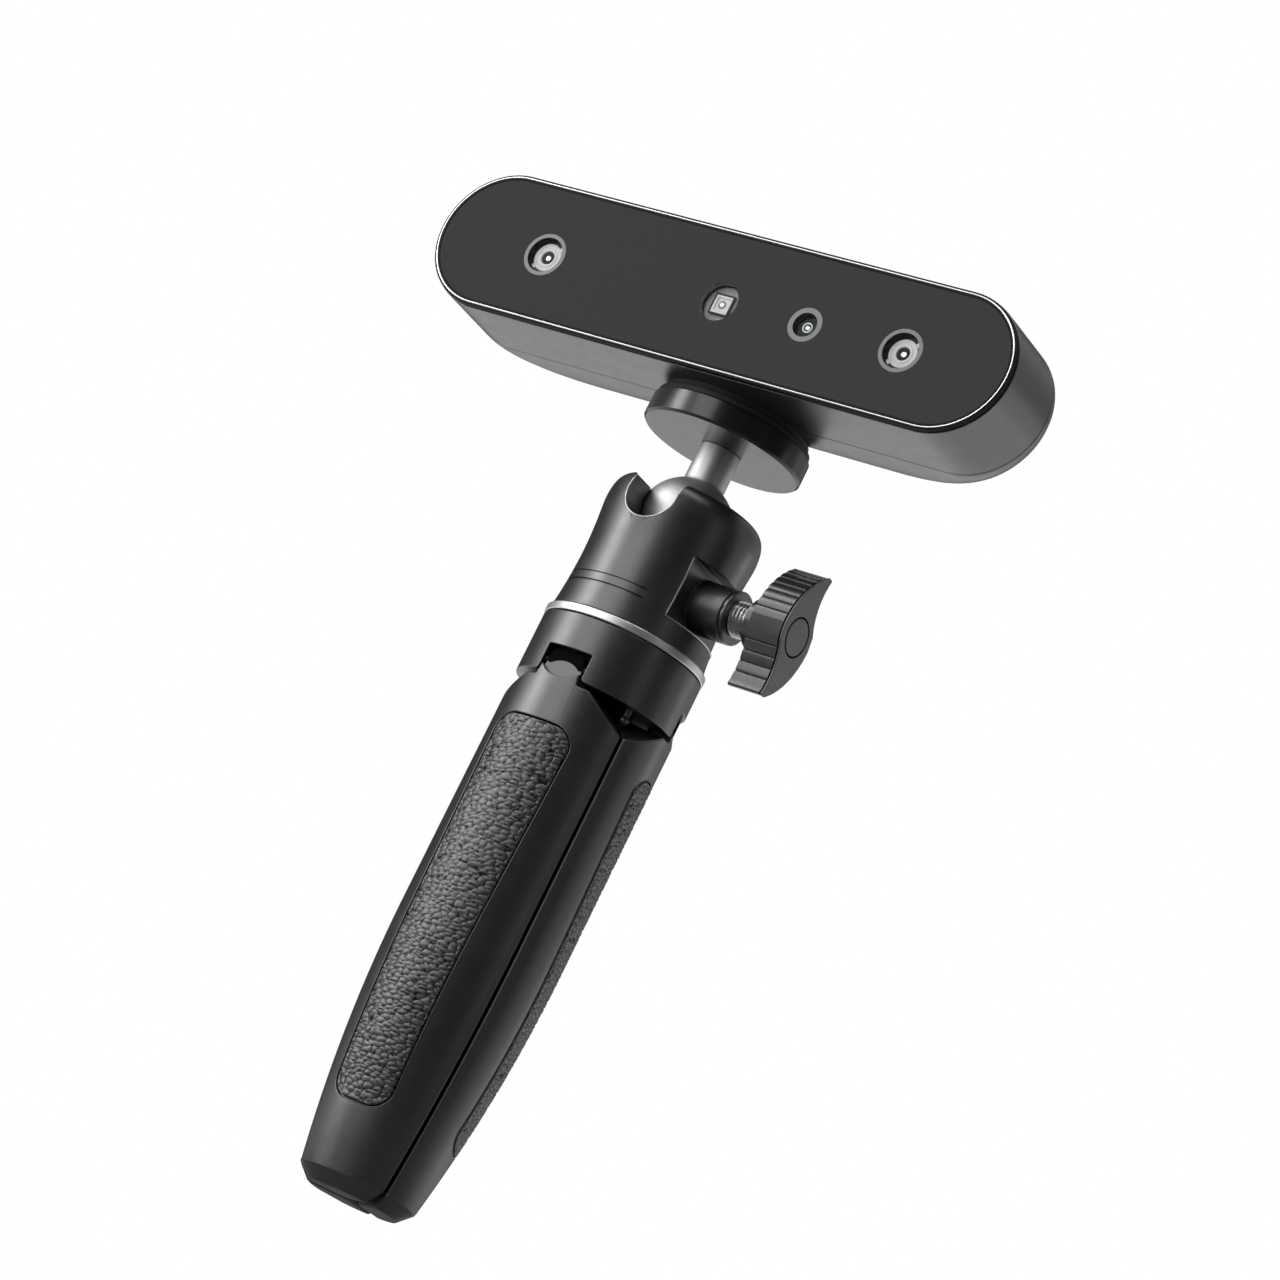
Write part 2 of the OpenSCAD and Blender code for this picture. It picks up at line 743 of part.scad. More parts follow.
// One slice of the dome, s from 0 at its rim to 90 at its back, drawn in by w
module dome_slice(s, w) {
    y = shell_back_y + (dome_depth - w) * sin(s);
    along_y(y, y + 0.01) stadium(dome_len(s) - 2 * w, dome_h(s) - 2 * w, $fn = 40);
}

module dome(w) {
    hull() for (s = [0:15:90]) dome_slice(s, w);
}

module body_shell() {
    color("#2d2d2d") difference() {
        at_head() difference() {
            along_y(shell_front_y, shell_back_y) stadium(head_len, head_h);
            along_y(shell_front_y - 1, shell_back_y + 1) stadium(cavity_len, cavity_h);
        }
        block_room(seat_gap);
    }
}

// The space of the block that the camera screw goes into
module block_room(g) {
    translate([-block_half_w - g, shell_back_y - block_front - g, head_z0 - 1])
        cube([2 * (block_half_w + g), block_front + dome_depth - block_back + 2 * g, 1 + block_h + g]);
}

module rear_cover() {
    lip_y = shell_back_y - lip_len;
    post_y = dome_y - shell_wall;
    color("#343434") difference() {
        at_head() {
            difference() {
                dome(0);
                intersection() {
                    dome(shell_wall);
                    along_y(shell_back_y - 1, dome_y - shell_wall) square([200, 60], center = true);
                }
            }
            along_y(lip_y, shell_back_y + 0.5) difference() {
                stadium(insert_len, insert_h);
                stadium(insert_len - 2 * lip_t, insert_h - 2 * lip_t);
            }
            at_posts() head_rod(0, 0, post_r, lip_y, post_y + 0.2);
            for (x = [-peg_x, peg_x]) {
                head_rod(x, 0, peg_shoulder_r, rear_parts_y, post_y + 0.2);
                head_rod(x, 0, peg_r, rear_board_y - peg_len, post_y);
            }
        }
        at_head() {
            head_rod(0, 0, start_button_r + button_gap, 0, dome_y + 2);
            for (s = [-1, 1]) head_rod(s * button_pitch, 0, side_button_r + button_gap, 0, dome_y + 2);
            translate([socket_x, 0, 0]) along_y(rear_board_y, dome_y + 2)
                stadium(socket_w + 2 * socket_gap, socket_h + 2 * socket_gap);
            head_rod(-light_x, 0, light_r + light_gap, rear_board_y, dome_y + 2);
            at_posts() {
                head_rod(0, 0, screw_core_r + slim, lip_y - 1.2, dome_y + 2);
                head_rod(0, 0, screw_head_r + 0.15, screw_head_y - slim, dome_y + 2);
            }
        }
        block_room(seat_gap);
    }
}

module tripod_block() {
    color("#9b9da1") difference() {
        intersection() {
            block_room(0);
            translate([-30, -30, head_z0]) cube([60, 60, 40]);
        }
        translate([0, 0, head_z0 - 1]) cylinder(r = screw_r + bore_play, h = 9);
    }
}

module bezel_ring() {
    color("#e6e6e6") at_head() along_y(front_y, shell_front_y) difference() {
        stadium(bezel_len, bezel_h);
        stadium(bezel_len - 2 * bezel_w, bezel_h - 2 * bezel_w);
    }
}

module front_glass() {
    color("#101010") at_head() difference() {
        along_y(glass_front_y, glass_back_y)
            stadium(bezel_len - 2 * bezel_w - 0.1, bezel_h - 2 * bezel_w - 0.1);
        for (w = WINDOWS) head_rod(w[0], -lens_drop, w[1], front_y - 1, glass_back_y + 1);
    }
}

module lens_windows() {
    color([0.8, 0.85, 0.85, 0.4]) at_head()
        for (w = WINDOWS) head_rod(w[0], -lens_drop, w[1] - 0.02, glass_front_y, glass_back_y);
}

module front_frame() {
    color("#141414") at_head() difference() {
        union() {
            along_y(glass_back_y + slim, frame_back_y) stadium(insert_len, insert_h);
            along_y(glass_back_y + slim, chassis_y - slim) difference() {
                stadium(insert_len, insert_h);
                stadium(insert_len - 2 * frame_rim_t, insert_h - 2 * frame_rim_t);
            }
        }
        for (w = WINDOWS) head_rod(w[0], -lens_drop, w[1] + 0.3, front_y, frame_back_y + 1);
    }
}

module chassis_plate() {
    color("#7d7f83") at_head() difference() {
        union() {
            along_y(chassis_y, chassis_y + chassis_t) stadium(insert_len, insert_h);
            at_posts() {
                head_rod(0, 0, post_r, chassis_y, shell_back_y - lip_len - slim);
                head_rod(0, 0, post_foot_r, chassis_y, main_board_y - slim);
            }
        }
        for (w = WINDOWS)
            head_rod(w[0], -lens_drop, w[1] - 0.6, chassis_y - 1, chassis_y + chassis_t + 1);
        at_posts() head_rod(0, 0, screw_core_r, chassis_y + chassis_t + 1, shell_back_y);
    }
}

// The square foot of a camera behind the chassis plate
module camera_base(x) {
    head_box(x, -lens_drop, camera_base_w, camera_base_w, chassis_y + chassis_t + slim, camera_back_y);
}

// A lens barrel on its square foot
module camera_module(x, barrel_r, bore_r) {
    at_head() difference() {
        union() {
            head_rod(x, -lens_drop, barrel_r, barrel_front_y, camera_back_y - 1);
            camera_base(x);
        }
        head_rod(x, -lens_drop, bore_r, barrel_front_y - 1, barrel_front_y + barrel_bore_depth);
    }
}

module left_camera() {
    color("#bdbdbd") camera_module(left_camera_x, camera_r, camera_bore_r);
}

module right_camera() {
    color("#bdbdbd") camera_module(right_camera_x, camera_r, camera_bore_r);
}

module colour_camera() {
    color("#1d1d1d") camera_module(colour_camera_x, colour_camera_r, colour_bore_r);
}

module pattern_projector() {
    color("#c8c8c4") at_head() difference() {
        union() {
            head_rod(projector_x, -lens_drop, projector_r, barrel_front_y + projector_step,
                camera_back_y - 1);
            head_box(projector_x, -lens_drop, projector_frame_w, projector_frame_w, barrel_front_y,
                barrel_front_y + projector_frame_t);
            camera_base(projector_x);
        }
        head_rod(projector_x, -lens_drop, projector_bore_r, barrel_front_y - 1,
            barrel_front_y + barrel_bore_depth);
    }
}

module camera_lenses() {
    lens_y = barrel_front_y + lens_recess;
    color([0.7, 0.8, 0.8, 0.5]) at_head() {
        for (x = [left_camera_x, right_camera_x])
            head_rod(x, -lens_drop, camera_bore_r - slim, lens_y, lens_y + lens_t);
        head_rod(colour_camera_x, -lens_drop, colour_bore_r - slim, lens_y, lens_y + lens_t);
        head_rod(projector_x, -lens_drop, projector_bore_r - slim,
            barrel_front_y + projector_lens_recess, lens_y + lens_t);
    }
}

module camera_boards() {
    y0 = camera_back_y + slim;
    color("#1f5a3a") at_head() for (w = WINDOWS)
        head_box(w[0], -lens_drop, camera_base_w, camera_base_w, y0, y0 + camera_board_t);
}

module main_board() {
    color("#1f5a3a") at_head() difference() {
        along_y(main_board_y, main_board_y + board_t)
            stadium(cavity_len - 2 * board_margin_x, cavity_h - 2 * board_margin_z);
        at_posts() head_rod(0, 0, post_r + 0.1, main_board_y - 1, main_board_y + board_t + 1);
    }
}

module heat_spreader() {
    y0 = main_board_y + board_t + slim;
    color("#8d8f93") at_head() translate([0, 0, spreader_z]) {
        head_box(0, 0, spreader_w, spreader_h, y0, y0 + spreader_base_t);
        for (i = [-7:7])
            head_box(i * fin_pitch, 0, fin_t, spreader_h, y0 + spreader_base_t, y0 + spreader_t);
    }
}

module rear_board() {
    color("#1f5a3a") at_head() difference() {
        head_box((rear_board_x0 + rear_board_x1) / 2, 0, rear_board_x1 - rear_board_x0, rear_board_h,
            rear_board_y, rear_board_y + rear_board_t);
        for (x = [-peg_x, peg_x]) head_rod(x, 0, peg_r + slim, rear_board_y - 1, rear_board_y + 3);
    }
}

module tact_switches() {
    color("#3c3c3c") at_head() for (x = [-button_pitch, 0, button_pitch]) {
        head_box(x, 0, switch_w, switch_w, rear_parts_y, rear_parts_y + switch_t - switch_key_t);
        head_rod(x, 0, switch_key_r, rear_parts_y, rear_parts_y + switch_t);
    }
}

module usb_socket() {
    color("#a3a5a9") at_head() translate([socket_x, 0, 0]) {
        difference() {
            along_y(rear_parts_y, dome_y - socket_recess) stadium(socket_w, socket_h);
            along_y(rear_parts_y + 1, dome_y + 1)
                stadium(socket_w - 2 * socket_wall, socket_h - 2 * socket_wall);
        }
        along_y(rear_parts_y + 0.5, dome_y - tongue_recess)
            square([socket_w - 2 * tongue_margin, tongue_t], center = true);
    }
}

module status_light() {
    color("#dfe8df") at_head()
        head_rod(-light_x, 0, light_r, rear_parts_y, dome_y - light_gap);
}

module cover_screws() {
    color("#5a5b5e") at_head() at_posts() difference() {
        union() {
            head_rod(0, 0, screw_core_r - slim, chassis_y + screw_tip, screw_head_y + 0.5);
            head_rod(0, 0, screw_head_r, screw_head_y, screw_head_y + screw_head_t);
        }
        translate([0, screw_head_y + 2, 0]) rotate([90, 0, 0])
            cylinder(r = screw_hex_r, h = 1.4, $fn = 6);
    }
}

module push_button(x, r) {
    flange_y = dome_y - shell_wall - joint_gap;
    at_head() {
        head_rod(x, 0, r, flange_y - button_flange_t, dome_y + button_proud);
        head_rod(x, 0, r + button_flange_w, flange_y - button_flange_t, flange_y);
        head_rod(x, 0, button_stem_r, rear_parts_y + switch_t + button_travel + 0.1, flange_y);
    }
}

module start_button() {
    color("#3d3d3d") push_button(0, start_button_r);
}

module plus_button() {
    color("#3d3d3d") push_button(button_pitch, side_button_r);
}

module minus_button() {
    color("#3d3d3d") push_button(-button_pitch, side_button_r);
}

ball_housing();
silver_ring();
leg_hub();
hub_core();
hub_bolt();
leg_pins();
detent_studs();
leg(LEG_ANGLES[0]);  // leg_front
leg(LEG_ANGLES[1]);  // leg_right
leg(LEG_ANGLES[2]);  // leg_left
grip_pad(LEG_ANGLES[0]);  // grip_pad_front
grip_pad(LEG_ANGLES[1]);  // grip_pad_right
grip_pad(LEG_ANGLES[2]);  // grip_pad_left
foot(LEG_ANGLES[0]);  // foot_front
foot(LEG_ANGLES[1]);  // foot_right
foot(LEG_ANGLES[2]);  // foot_left
seat_cup();
ball_stem();
pressure_plunger();
wedge_slider();
lock_screw();
screw_collar();
wing_knob();
knob_cap();
platform_disc();
platform_pad();
mount_screw();
swivel_clip();
front_glass();
lens_windows();
bezel_ring();
front_frame();
body_shell();
rear_cover();
tripod_block();
chassis_plate();
left_camera();
right_camera();
colour_camera();
pattern_projector();
camera_lenses();
camera_boards();
main_board();
heat_spreader();
rear_board();
tact_switches();
usb_socket();
status_light();
cover_screws();
start_button();
plus_button();
minus_button();
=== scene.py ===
"""Looks of a handheld scanner on a folding three-legged grip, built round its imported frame."""

import json
import logging
import math
from collections.abc import Callable, Iterable, Sequence
from dataclasses import dataclass, field
from enum import Enum

import bmesh
import bpy
from mathutils import Matrix, Vector, noise


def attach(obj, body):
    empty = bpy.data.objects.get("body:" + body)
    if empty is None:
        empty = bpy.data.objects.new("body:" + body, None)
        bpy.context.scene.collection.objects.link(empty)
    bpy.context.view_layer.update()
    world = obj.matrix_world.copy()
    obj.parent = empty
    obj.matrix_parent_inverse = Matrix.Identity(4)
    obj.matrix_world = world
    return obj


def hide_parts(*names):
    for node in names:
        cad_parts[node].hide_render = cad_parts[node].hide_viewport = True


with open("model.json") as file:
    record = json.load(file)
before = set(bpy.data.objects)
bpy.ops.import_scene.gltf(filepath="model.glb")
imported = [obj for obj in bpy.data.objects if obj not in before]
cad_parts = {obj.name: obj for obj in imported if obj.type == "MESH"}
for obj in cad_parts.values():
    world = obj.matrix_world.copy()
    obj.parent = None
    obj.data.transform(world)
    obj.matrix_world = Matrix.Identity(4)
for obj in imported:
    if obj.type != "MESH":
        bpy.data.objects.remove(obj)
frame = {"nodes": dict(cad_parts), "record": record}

log = logging.getLogger("scanner")

MM = 0.001
Corner = tuple[float, float, float]
Colour = tuple[float, float, float]
# Point attribute of the leather pads: how far each point lies out of a crease, which paints shade into the
# creases.
CREASE_SHADE = "grain"
NOISE_SEED = 7
WHITE = (1, 1, 1, 1)
SHARP_DEGREES = 42
NORMAL_WEIGHT = 80
MERGE_SHARE = 0.15
SLIVER_SHARE = 0.05
HINGE = (-16.6, 123.8)
LOCK_HEIGHT = 150.3
BALL_HEIGHT = 167.3
LEG_TURNS = {"front": 0, "right": 120, "left": 240}


class Turn(Enum):
    """The way an upright turned form is laid over."""

    UP = "up"
    ALONG_X = "along x"
    ALONG_Y = "along y"

    def matrix(self, at: Sequence[float]) -> Matrix:
        """Gives the move that lays a form made about +Z this way, at a place in mm.

        Args:
            at: The place that the form's own origin goes to.

        Returns:
            The move, in mm.
        """
        turns = {
            Turn.UP: Matrix.Identity(4),
            Turn.ALONG_X: Matrix.Rotation(math.radians(90), 4, "Y"),
            Turn.ALONG_Y: Matrix.Rotation(math.radians(-90), 4, "X"),
        }
        return Matrix.Translation(Vector(at)) @ turns[self]


def rounded(corners: Sequence[Corner], closed: bool = False, steps: int = 5) -> list[Vector]:
    """Rounds the corners of an outline.

    Args:
        corners: Each corner's two coordinates and its radius, in mm.
        closed: Whether the last corner joins the first.
        steps: The straight pieces in each rounded corner.

    Returns:
        The points of the outline.
    """
    points: list[Vector] = []
    count = len(corners)
    for index, (across, along, radius) in enumerate(corners):
        corner = Vector((across, along))
        if radius == 0 or (not closed and index in (0, count - 1)):
            points.append(corner)
            continue
        before = Vector(corners[index - 1][:2]) - corner
        after = Vector(corners[(index + 1) % count][:2]) - corner
        half = before.angle(after) / 2
        reach = min(radius / math.tan(half), before.length * 0.48, after.length * 0.48)
        size = reach * math.tan(half)
        before.normalize()
        after.normalize()
        centre = corner + (before + after).normalized() * size / math.sin(half)
        start = corner + before * reach - centre
        end = corner + after * reach - centre
        sweep = math.atan2(start.x * end.y - start.y * end.x, start.dot(end))
        for step in range(steps + 1):
            points.append(centre + Matrix.Rotation(sweep * step / steps, 2) @ start)
    return points


def arc(centre: Sequence[float], radius: float, start: float, end: float, steps: int) -> list[Corner]:
    """Gives the points of an arc as sharp corners.

    Args:
        centre: The arc's centre.
        radius: Its radius in mm.
        start: The angle it starts at, in degrees.
        end: The angle it ends at, in degrees.
        steps: The straight pieces in it.

    Returns:
        The corners, in order.
    """
    made = []
    for step in range(steps + 1):
        angle = math.radians(start + (end - start) * step / max(1, steps))
        made.append((centre[0] + radius * math.cos(angle), centre[1] + radius * math.sin(angle), 0.0))
    return made


def vectors(*pairs: Sequence[float]) -> list[Vector]:
    """Gives the points of an outline from their two coordinates, without a third value such as a radius."""
    return [Vector(pair[:2]) for pair in pairs]


def upright(x: float, z: float, y: float) -> Vector:
    """Gives the point of an outline drawn in X and Z at a depth along Y."""
    return Vector((x, y, z))


def stadium_ring(length: float, height: float, inset: float, y: float, steps: int = 40) -> list[Vector]:
    """Gives one ring of a round-ended bar that lies along X.

    Args:
        length: The bar's length in mm.
        height: The bar's height in mm.
        inset: How far the ring lies inside the bar's outline.
        y: The ring's place along Y.
        steps: The straight pieces in each round end.

    Returns:
        The ring's points, the right end first.
    """
    radius = height / 2 - inset
    reach = (length - height) / 2
    ring = []
    for side, first in ((reach, -90), (-reach, 90)):
        for step in range(steps + 1):
            angle = math.radians(first + 180 * step / steps)
            ring.append(Vector((side + radius * math.cos(angle), y, radius * math.sin(angle))))
    return ring


class Form:
    """A mesh in the making, in mm, that ends as a dressed piece of the object."""

    def __init__(self, name: str) -> None:
        """Starts an empty form.

        Args:
            name: The piece's name.
        """
        self.piece = bpy.data.objects.new(name, bpy.data.meshes.new(name))
        bpy.context.scene.collection.objects.link(self.piece)

    @classmethod
    def loft(cls, name: str, rings: Sequence[Sequence[Vector]], looped: bool = False) -> "Form":
        """Makes a closed skin over rings of as many points each.

        Args:
            name: The piece's name.
            rings: The rings, in order.
            looped: Whether the last ring joins the first, so that no end is capped.

        Returns:
            The form.
        """
        form = cls(name)
        count = len(rings[0])
        mesh = bmesh.new()
        made = [[mesh.verts.new(point) for point in ring] for ring in rings]
        pairs = zip(made, made[1:] + made[:1] if looped else made[1:])
        for low, high in pairs:
            for index in range(count):
                after = (index + 1) % count
                mesh.faces.new((low[index], low[after], high[after], high[index]))
        if not looped:
            mesh.faces.new(made[0][::-1])
            mesh.faces.new(made[-1])
        bmesh.ops.recalc_face_normals(mesh, faces=mesh.faces)
        mesh.to_mesh(form.piece.data)
        mesh.free()
        return form

    @classmethod
    def turned(
        cls,
        name: str,
        profile: Sequence[Vector],
        looped: bool = False,
        turn: Turn = Turn.UP,
        at: Sequence[float] = (0, 0, 0),
        segments: int = 144,
    ) -> "Form":
        """Turns a profile about an axis.

        Args:
            name: The piece's name.
            profile: Points of radius and height in mm.
            looped: Whether the profile closes on itself, as a ring's does.
            turn: The way the form lies.
            at: The place of its own origin.
            segments: The straight pieces round it.

        Returns:
            The form.
        """
        rings = []
        for radius, height in profile:
            ring = []
            for index in range(segments):
                angle = 2 * math.pi * index / segments
                ring.append(Vector((radius * math.cos(angle), radius * math.sin(angle), height)))
            rings.append(ring)
        form = cls.loft(name, rings, looped)
        form.piece.data.transform(turn.matrix(at))
        form.mend_normals()
        return form

    @classmethod
    def ring(cls, name: str, corners: Sequence[Corner], steps: int = 5, **settings: object) -> "Form":
        """Turns a closed outline of corners about an axis, with the settings of turned()."""
        return cls.turned(name, rounded(corners, closed=True, steps=steps), looped=True, **settings)

    @classmethod
    def extruded(
        cls,
        name: str,
        outline: Sequence[Vector],
        near: float,
        far: float,
        place: Callable[[float, float, float], Vector] = upright,
    ) -> "Form":
        """Makes a plate of an outline.

        Args:
            name: The piece's name.
            outline: The outline's points in mm.
            near: The depth that the plate starts at.
            far: The depth that it ends at.
            place: Turns an outline's two coordinates and a depth into a point.

        Returns:
            The form.
        """
        rings = [[place(point.x, point.y, depth) for point in outline] for depth in (near, far)]
        return cls.loft(name, rings)

    @classmethod
    def block(cls, name: str, low: Sequence[float], high: Sequence[float]) -> "Form":
        """Makes a box between two corners, for cutting with.

        Args:
            name: The form's name.
            low: The lowest corner in mm.
            high: The highest corner in mm.

        Returns:
            The form.
        """
        ring = [(low[0], low[1]), (high[0], low[1]), (high[0], high[1]), (low[0], high[1])]
        return cls.loft(name, [[Vector((x, y, z)) for x, y in ring] for z in (low[2], high[2])])

    @classmethod
    def tube(
        cls, name: str, path: Sequence[Vector], outward: Sequence[Vector], radius: float, closed: bool = False
    ) -> "Form":
        """Makes a fine bead along a path.

        Args:
            name: The form's name.
            path: The points that it follows in mm.
            outward: At each point, the way out of the surface that it lies on.
            radius: The bead's radius.
            closed: Whether the path joins up.

        Returns:
            The form.
        """
        sides, last = 8, len(path) - 1
        rings = []
        for index, point in enumerate(path):
            before = path[index - 1] if closed or index else point
            after = path[(index + 1) % len(path)] if closed or index < last else point
            out = outward[index]
            side = (after - before).normalized().cross(out)
            ring = []
            for turn in range(sides):
                angle = 2 * math.pi * turn / sides
                ring.append(point + (out * math.cos(angle) + side * math.sin(angle)) * radius)
            rings.append(ring)
        return cls.loft(name, rings, looped=closed)

    def mend_normals(self) -> None:
        """Turns every face outwards."""
        mesh = bmesh.new()
        mesh.from_mesh(self.piece.data)
        bmesh.ops.recalc_face_normals(mesh, faces=mesh.faces)
        mesh.to_mesh(self.piece.data)
        mesh.free()

    def move(self, matrix: Matrix) -> "Form":
        """Moves the form's points by a matrix in mm and returns the form."""
        self.piece.data.transform(matrix)
        return self

    def settle(self) -> None:
        """Puts what the modifiers make into the mesh itself."""
        graph = bpy.context.evaluated_depsgraph_get()
        graph.update()
        made = bpy.data.meshes.new_from_object(self.piece.evaluated_get(graph))
        self.piece.modifiers.clear()
        old = self.piece.data
        self.piece.data = made
        bpy.data.meshes.remove(old)

    def combine(self, other: "Form", operation: str) -> "Form":
        """Cuts another form out of this one, or joins it on.

        Args:
            other: The other form, which is used up.
            operation: DIFFERENCE or UNION.

        Returns:
            This form.
        """
        modifier = self.piece.modifiers.new("combine", "BOOLEAN")
        modifier.operation = operation
        modifier.solver = "EXACT"
        modifier.object = other.piece
        self.settle()
        bpy.data.objects.remove(other.piece)
        return self

    def cut(self, other: "Form") -> "Form":
        """Cuts another form out of this one and returns this one."""
        return self.combine(other, "DIFFERENCE")

    def add(self, other: "Form") -> "Form":
        """Joins another form on and returns this one."""
        return self.combine(other, "UNION")

    def soften(self, width: float, angle: float = 32, steps: int = 2) -> "Form":
        """Rounds the sharp edges.

        Args:
            width: The rounding's width in mm.
            angle: The least angle in degrees at which an edge counts as sharp.
            steps: The pieces in each rounding.

        Returns:
            This form.
        """
        mesh = bmesh.new()
        mesh.from_mesh(self.piece.data)
        bmesh.ops.remove_doubles(mesh, verts=mesh.verts, dist=width * MERGE_SHARE)
        bmesh.ops.dissolve_degenerate(mesh, edges=mesh.edges, dist=width * SLIVER_SHARE)
        mesh.to_mesh(self.piece.data)
        mesh.free()
        modifier = self.piece.modifiers.new("soften", "BEVEL")
        modifier.width = width
        modifier.segments = steps
        modifier.limit_method = "ANGLE"
        modifier.angle_limit = math.radians(angle)
        modifier.use_clamp_overlap = False
        modifier.miter_outer = "MITER_ARC"
        self.settle()
        return self

    def dress(self, finish: "Finish", body: str, slot: str, nodes: Iterable[str] = ()) -> bpy.types.Object:
        """Finishes the form and puts it on its body.

        Args:
            finish: The look of its surface.
            body: The body that it moves with.
            slot: The material slot that it belongs to; not used.
            nodes: The frame's nodes that it stands for.

        Returns:
            The piece.
        """
        piece = self.piece
        piece.data.transform(Matrix.Scale(MM, 4))
        for face in piece.data.polygons:
            face.use_smooth = True
        piece.data.set_sharp_from_angle(angle=math.radians(SHARP_DEGREES))
        modifier = piece.modifiers.new("even", "WEIGHTED_NORMAL")
        modifier.mode = "FACE_AREA_WITH_ANGLE"
        modifier.weight = NORMAL_WEIGHT
        modifier.keep_sharp = True
        self.settle()
        piece.data.materials.clear()
        piece.data.materials.append(finish.material())
        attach(piece, body)
        if nodes:
            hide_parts(*nodes)
        log.info("%s: %d faces, moves with %s", piece.name, len(piece.data.polygons), body)
        return piece


class Graph:
    """The nodes of one material."""

    def __init__(self, name: str) -> None:
        """Starts a material with only its output.

        Args:
            name: The material's name.
        """
        self.material = bpy.data.materials.new(name)
        self.material.use_nodes = True
        self.nodes = self.material.node_tree.nodes
        self.links = self.material.node_tree.links
        self.nodes.clear()
        self.output = self.nodes.new("ShaderNodeOutputMaterial")

    def add(
        self, kind: str, inputs: dict[str | int, object] | None = None, **settings: object
    ) -> bpy.types.Node:
        """Adds a node.

        Args:
            kind: The node's type without its prefix.
            inputs: What goes into its sockets: a socket of another node, or a value.
            settings: The node's own settings.

        Returns:
            The node.
        """
        node = self.nodes.new("ShaderNode" + kind)
        for key, value in settings.items():
            setattr(node, key, value)
        for key, value in (inputs or {}).items():
            if isinstance(value, bpy.types.NodeSocket):
                self.links.new(value, node.inputs[key])
            else:
                node.inputs[key].default_value = value
        return node

    def place(self) -> bpy.types.NodeSocket:
        """Gives the place on the piece, in metres."""
        return self.add("TexCoord").outputs["Object"]

    def noise(
        self, feature: float, detail: float = 2, stretch: Sequence[float] = (1, 1, 1)
    ) -> bpy.types.NodeSocket:
        """Adds a soft noise.

        Args:
            feature: The size of its spots in mm.
            detail: How many finer layers it has.
            stretch: How much finer it is along each axis.

        Returns:
            Its value, about 0.5 on average.
        """
        spread = self.add("Mapping", {"Vector": self.place(), "Scale": stretch}).outputs[0]
        spots = self.add("TexNoise", {"Vector": spread, "Scale": 1 / (feature * MM), "Detail": detail})
        return spots.outputs["Fac"]

    def ranged(
        self, value: bpy.types.NodeSocket, start: float, end: float, low: float = 0.0, high: float = 1.0
    ) -> bpy.types.NodeSocket:
        """Maps the range from start to end to the range from low to high."""
        return self.add("MapRange", {"Value": value, 1: start, 2: end, 3: low, 4: high}).outputs[0]

    def between(self, value: bpy.types.NodeSocket, low: float, high: float) -> bpy.types.NodeSocket:
        """Maps a noise's middle range to the range from low to high."""
        return self.ranged(value, 0.3, 0.7, low, high)

    def calculate(self, operation: str, first: object, second: object) -> bpy.types.NodeSocket:
        """Works an operation on two values, each a socket or a number."""
        return self.add("Math", {0: first, 1: second}, operation=operation).outputs[0]

    def shade(self, value: bpy.types.NodeSocket, dark: Colour, light: Colour) -> bpy.types.NodeSocket:
        """Mixes two colours by a value from 0 to 1."""
        mixed = self.add("Mix", {0: value, 6: (*dark, 1), 7: (*light, 1)}, data_type="RGBA")
        return mixed.outputs[2]

    def bump(self, height: bpy.types.NodeSocket, depth: float) -> bpy.types.NodeSocket:
        """Turns a height into a rough surface of a depth in mm."""
        return self.add("Bump", {"Height": height, "Strength": 1.0, "Distance": depth * MM}).outputs[0]

    def surface(self, inputs: dict[str | int, object]) -> bpy.types.Material:
        """Ends the material with a Principled surface of these inputs and returns it."""
        return self.end(self.add("BsdfPrincipled", inputs))

    def mixed(
        self, share: bpy.types.NodeSocket, first: bpy.types.Node, second: bpy.types.Node
    ) -> bpy.types.Node:
        """Mixes two shaders by the second one's share, from 0 to 1."""
        return self.add("MixShader", {0: share, 1: first.outputs[0], 2: second.outputs[0]})

    def end(self, shader: bpy.types.Node) -> bpy.types.Material:
        """Ends the material with a shader and returns the material."""
        self.links.new(shader.outputs[0], self.output.inputs["Surface"])
        return self.material


def tint(colour: Colour, factor: float) -> Colour:
    """Makes a colour lighter or darker by a factor."""
    return tuple(min(1.0, part * factor) for part in colour)


@dataclass(frozen=True)
class Finish:
    """The look of a surface. Kinds of finish give their own nodes."""

    name: str
    colour: Colour
    roughness: float = 0.4

    def material(self) -> bpy.types.Material:
        """Gives the finish's material, made on its first use."""
        return bpy.data.materials.get(self.name) or self.build(Graph(self.name))

    def build(self, graph: Graph) -> bpy.types.Material:
        """Builds the material's nodes in a graph and returns the material."""
        return graph.surface({"Base Color": (*self.colour, 1), "Roughness": self.roughness})


@dataclass(frozen=True)
class Moulded(Finish):
    """Moulded or coated, with a fine grain; its sharp edges are painted lighter, partly as wear and partly as
    a painted highlight.
    """

    grain: float = 0.16
    grain_depth: float = 0.004
    mottle: float = 0.08
    spread: float = 0.03
    specular: float = 1.0
    coat: float = 0.5
    wear_and_highlight: float = 0.25

    def build(self, graph: Graph) -> bpy.types.Material:
        """Builds the grain, the mottling and the lighter edges, part wear and part painted highlight, in a
        graph and returns the material.
        """
        cloud = graph.between(graph.noise(9, 3), 0, 1)
        colour = graph.shade(cloud, tint(self.colour, 1 - self.mottle), tint(self.colour, 1 + self.mottle))
        # Convex edges, found by pointiness, are painted lighter: partly wear, partly a painted highlight
        # along the bevels.
        edge = graph.add("NewGeometry").outputs["Pointiness"]
        wear_and_highlight = graph.ranged(edge, 0.53, 0.62, 0.0, self.wear_and_highlight)
        lighter = (*tint(self.colour, 3), 1)
        colour = graph.add("Mix", {0: wear_and_highlight, 6: colour, 7: lighter}, data_type="RGBA").outputs[2]
        patch = graph.between(graph.noise(3.5, 2), self.roughness - self.spread, self.roughness + self.spread)
        return graph.surface({
            "Base Color": colour,
            "Roughness": patch,
            "Specular IOR Level": self.specular,
            "Coat Weight": self.coat,
            "Coat Roughness": self.roughness,
            "Normal": graph.bump(graph.noise(self.grain, 3), self.grain_depth),
        })


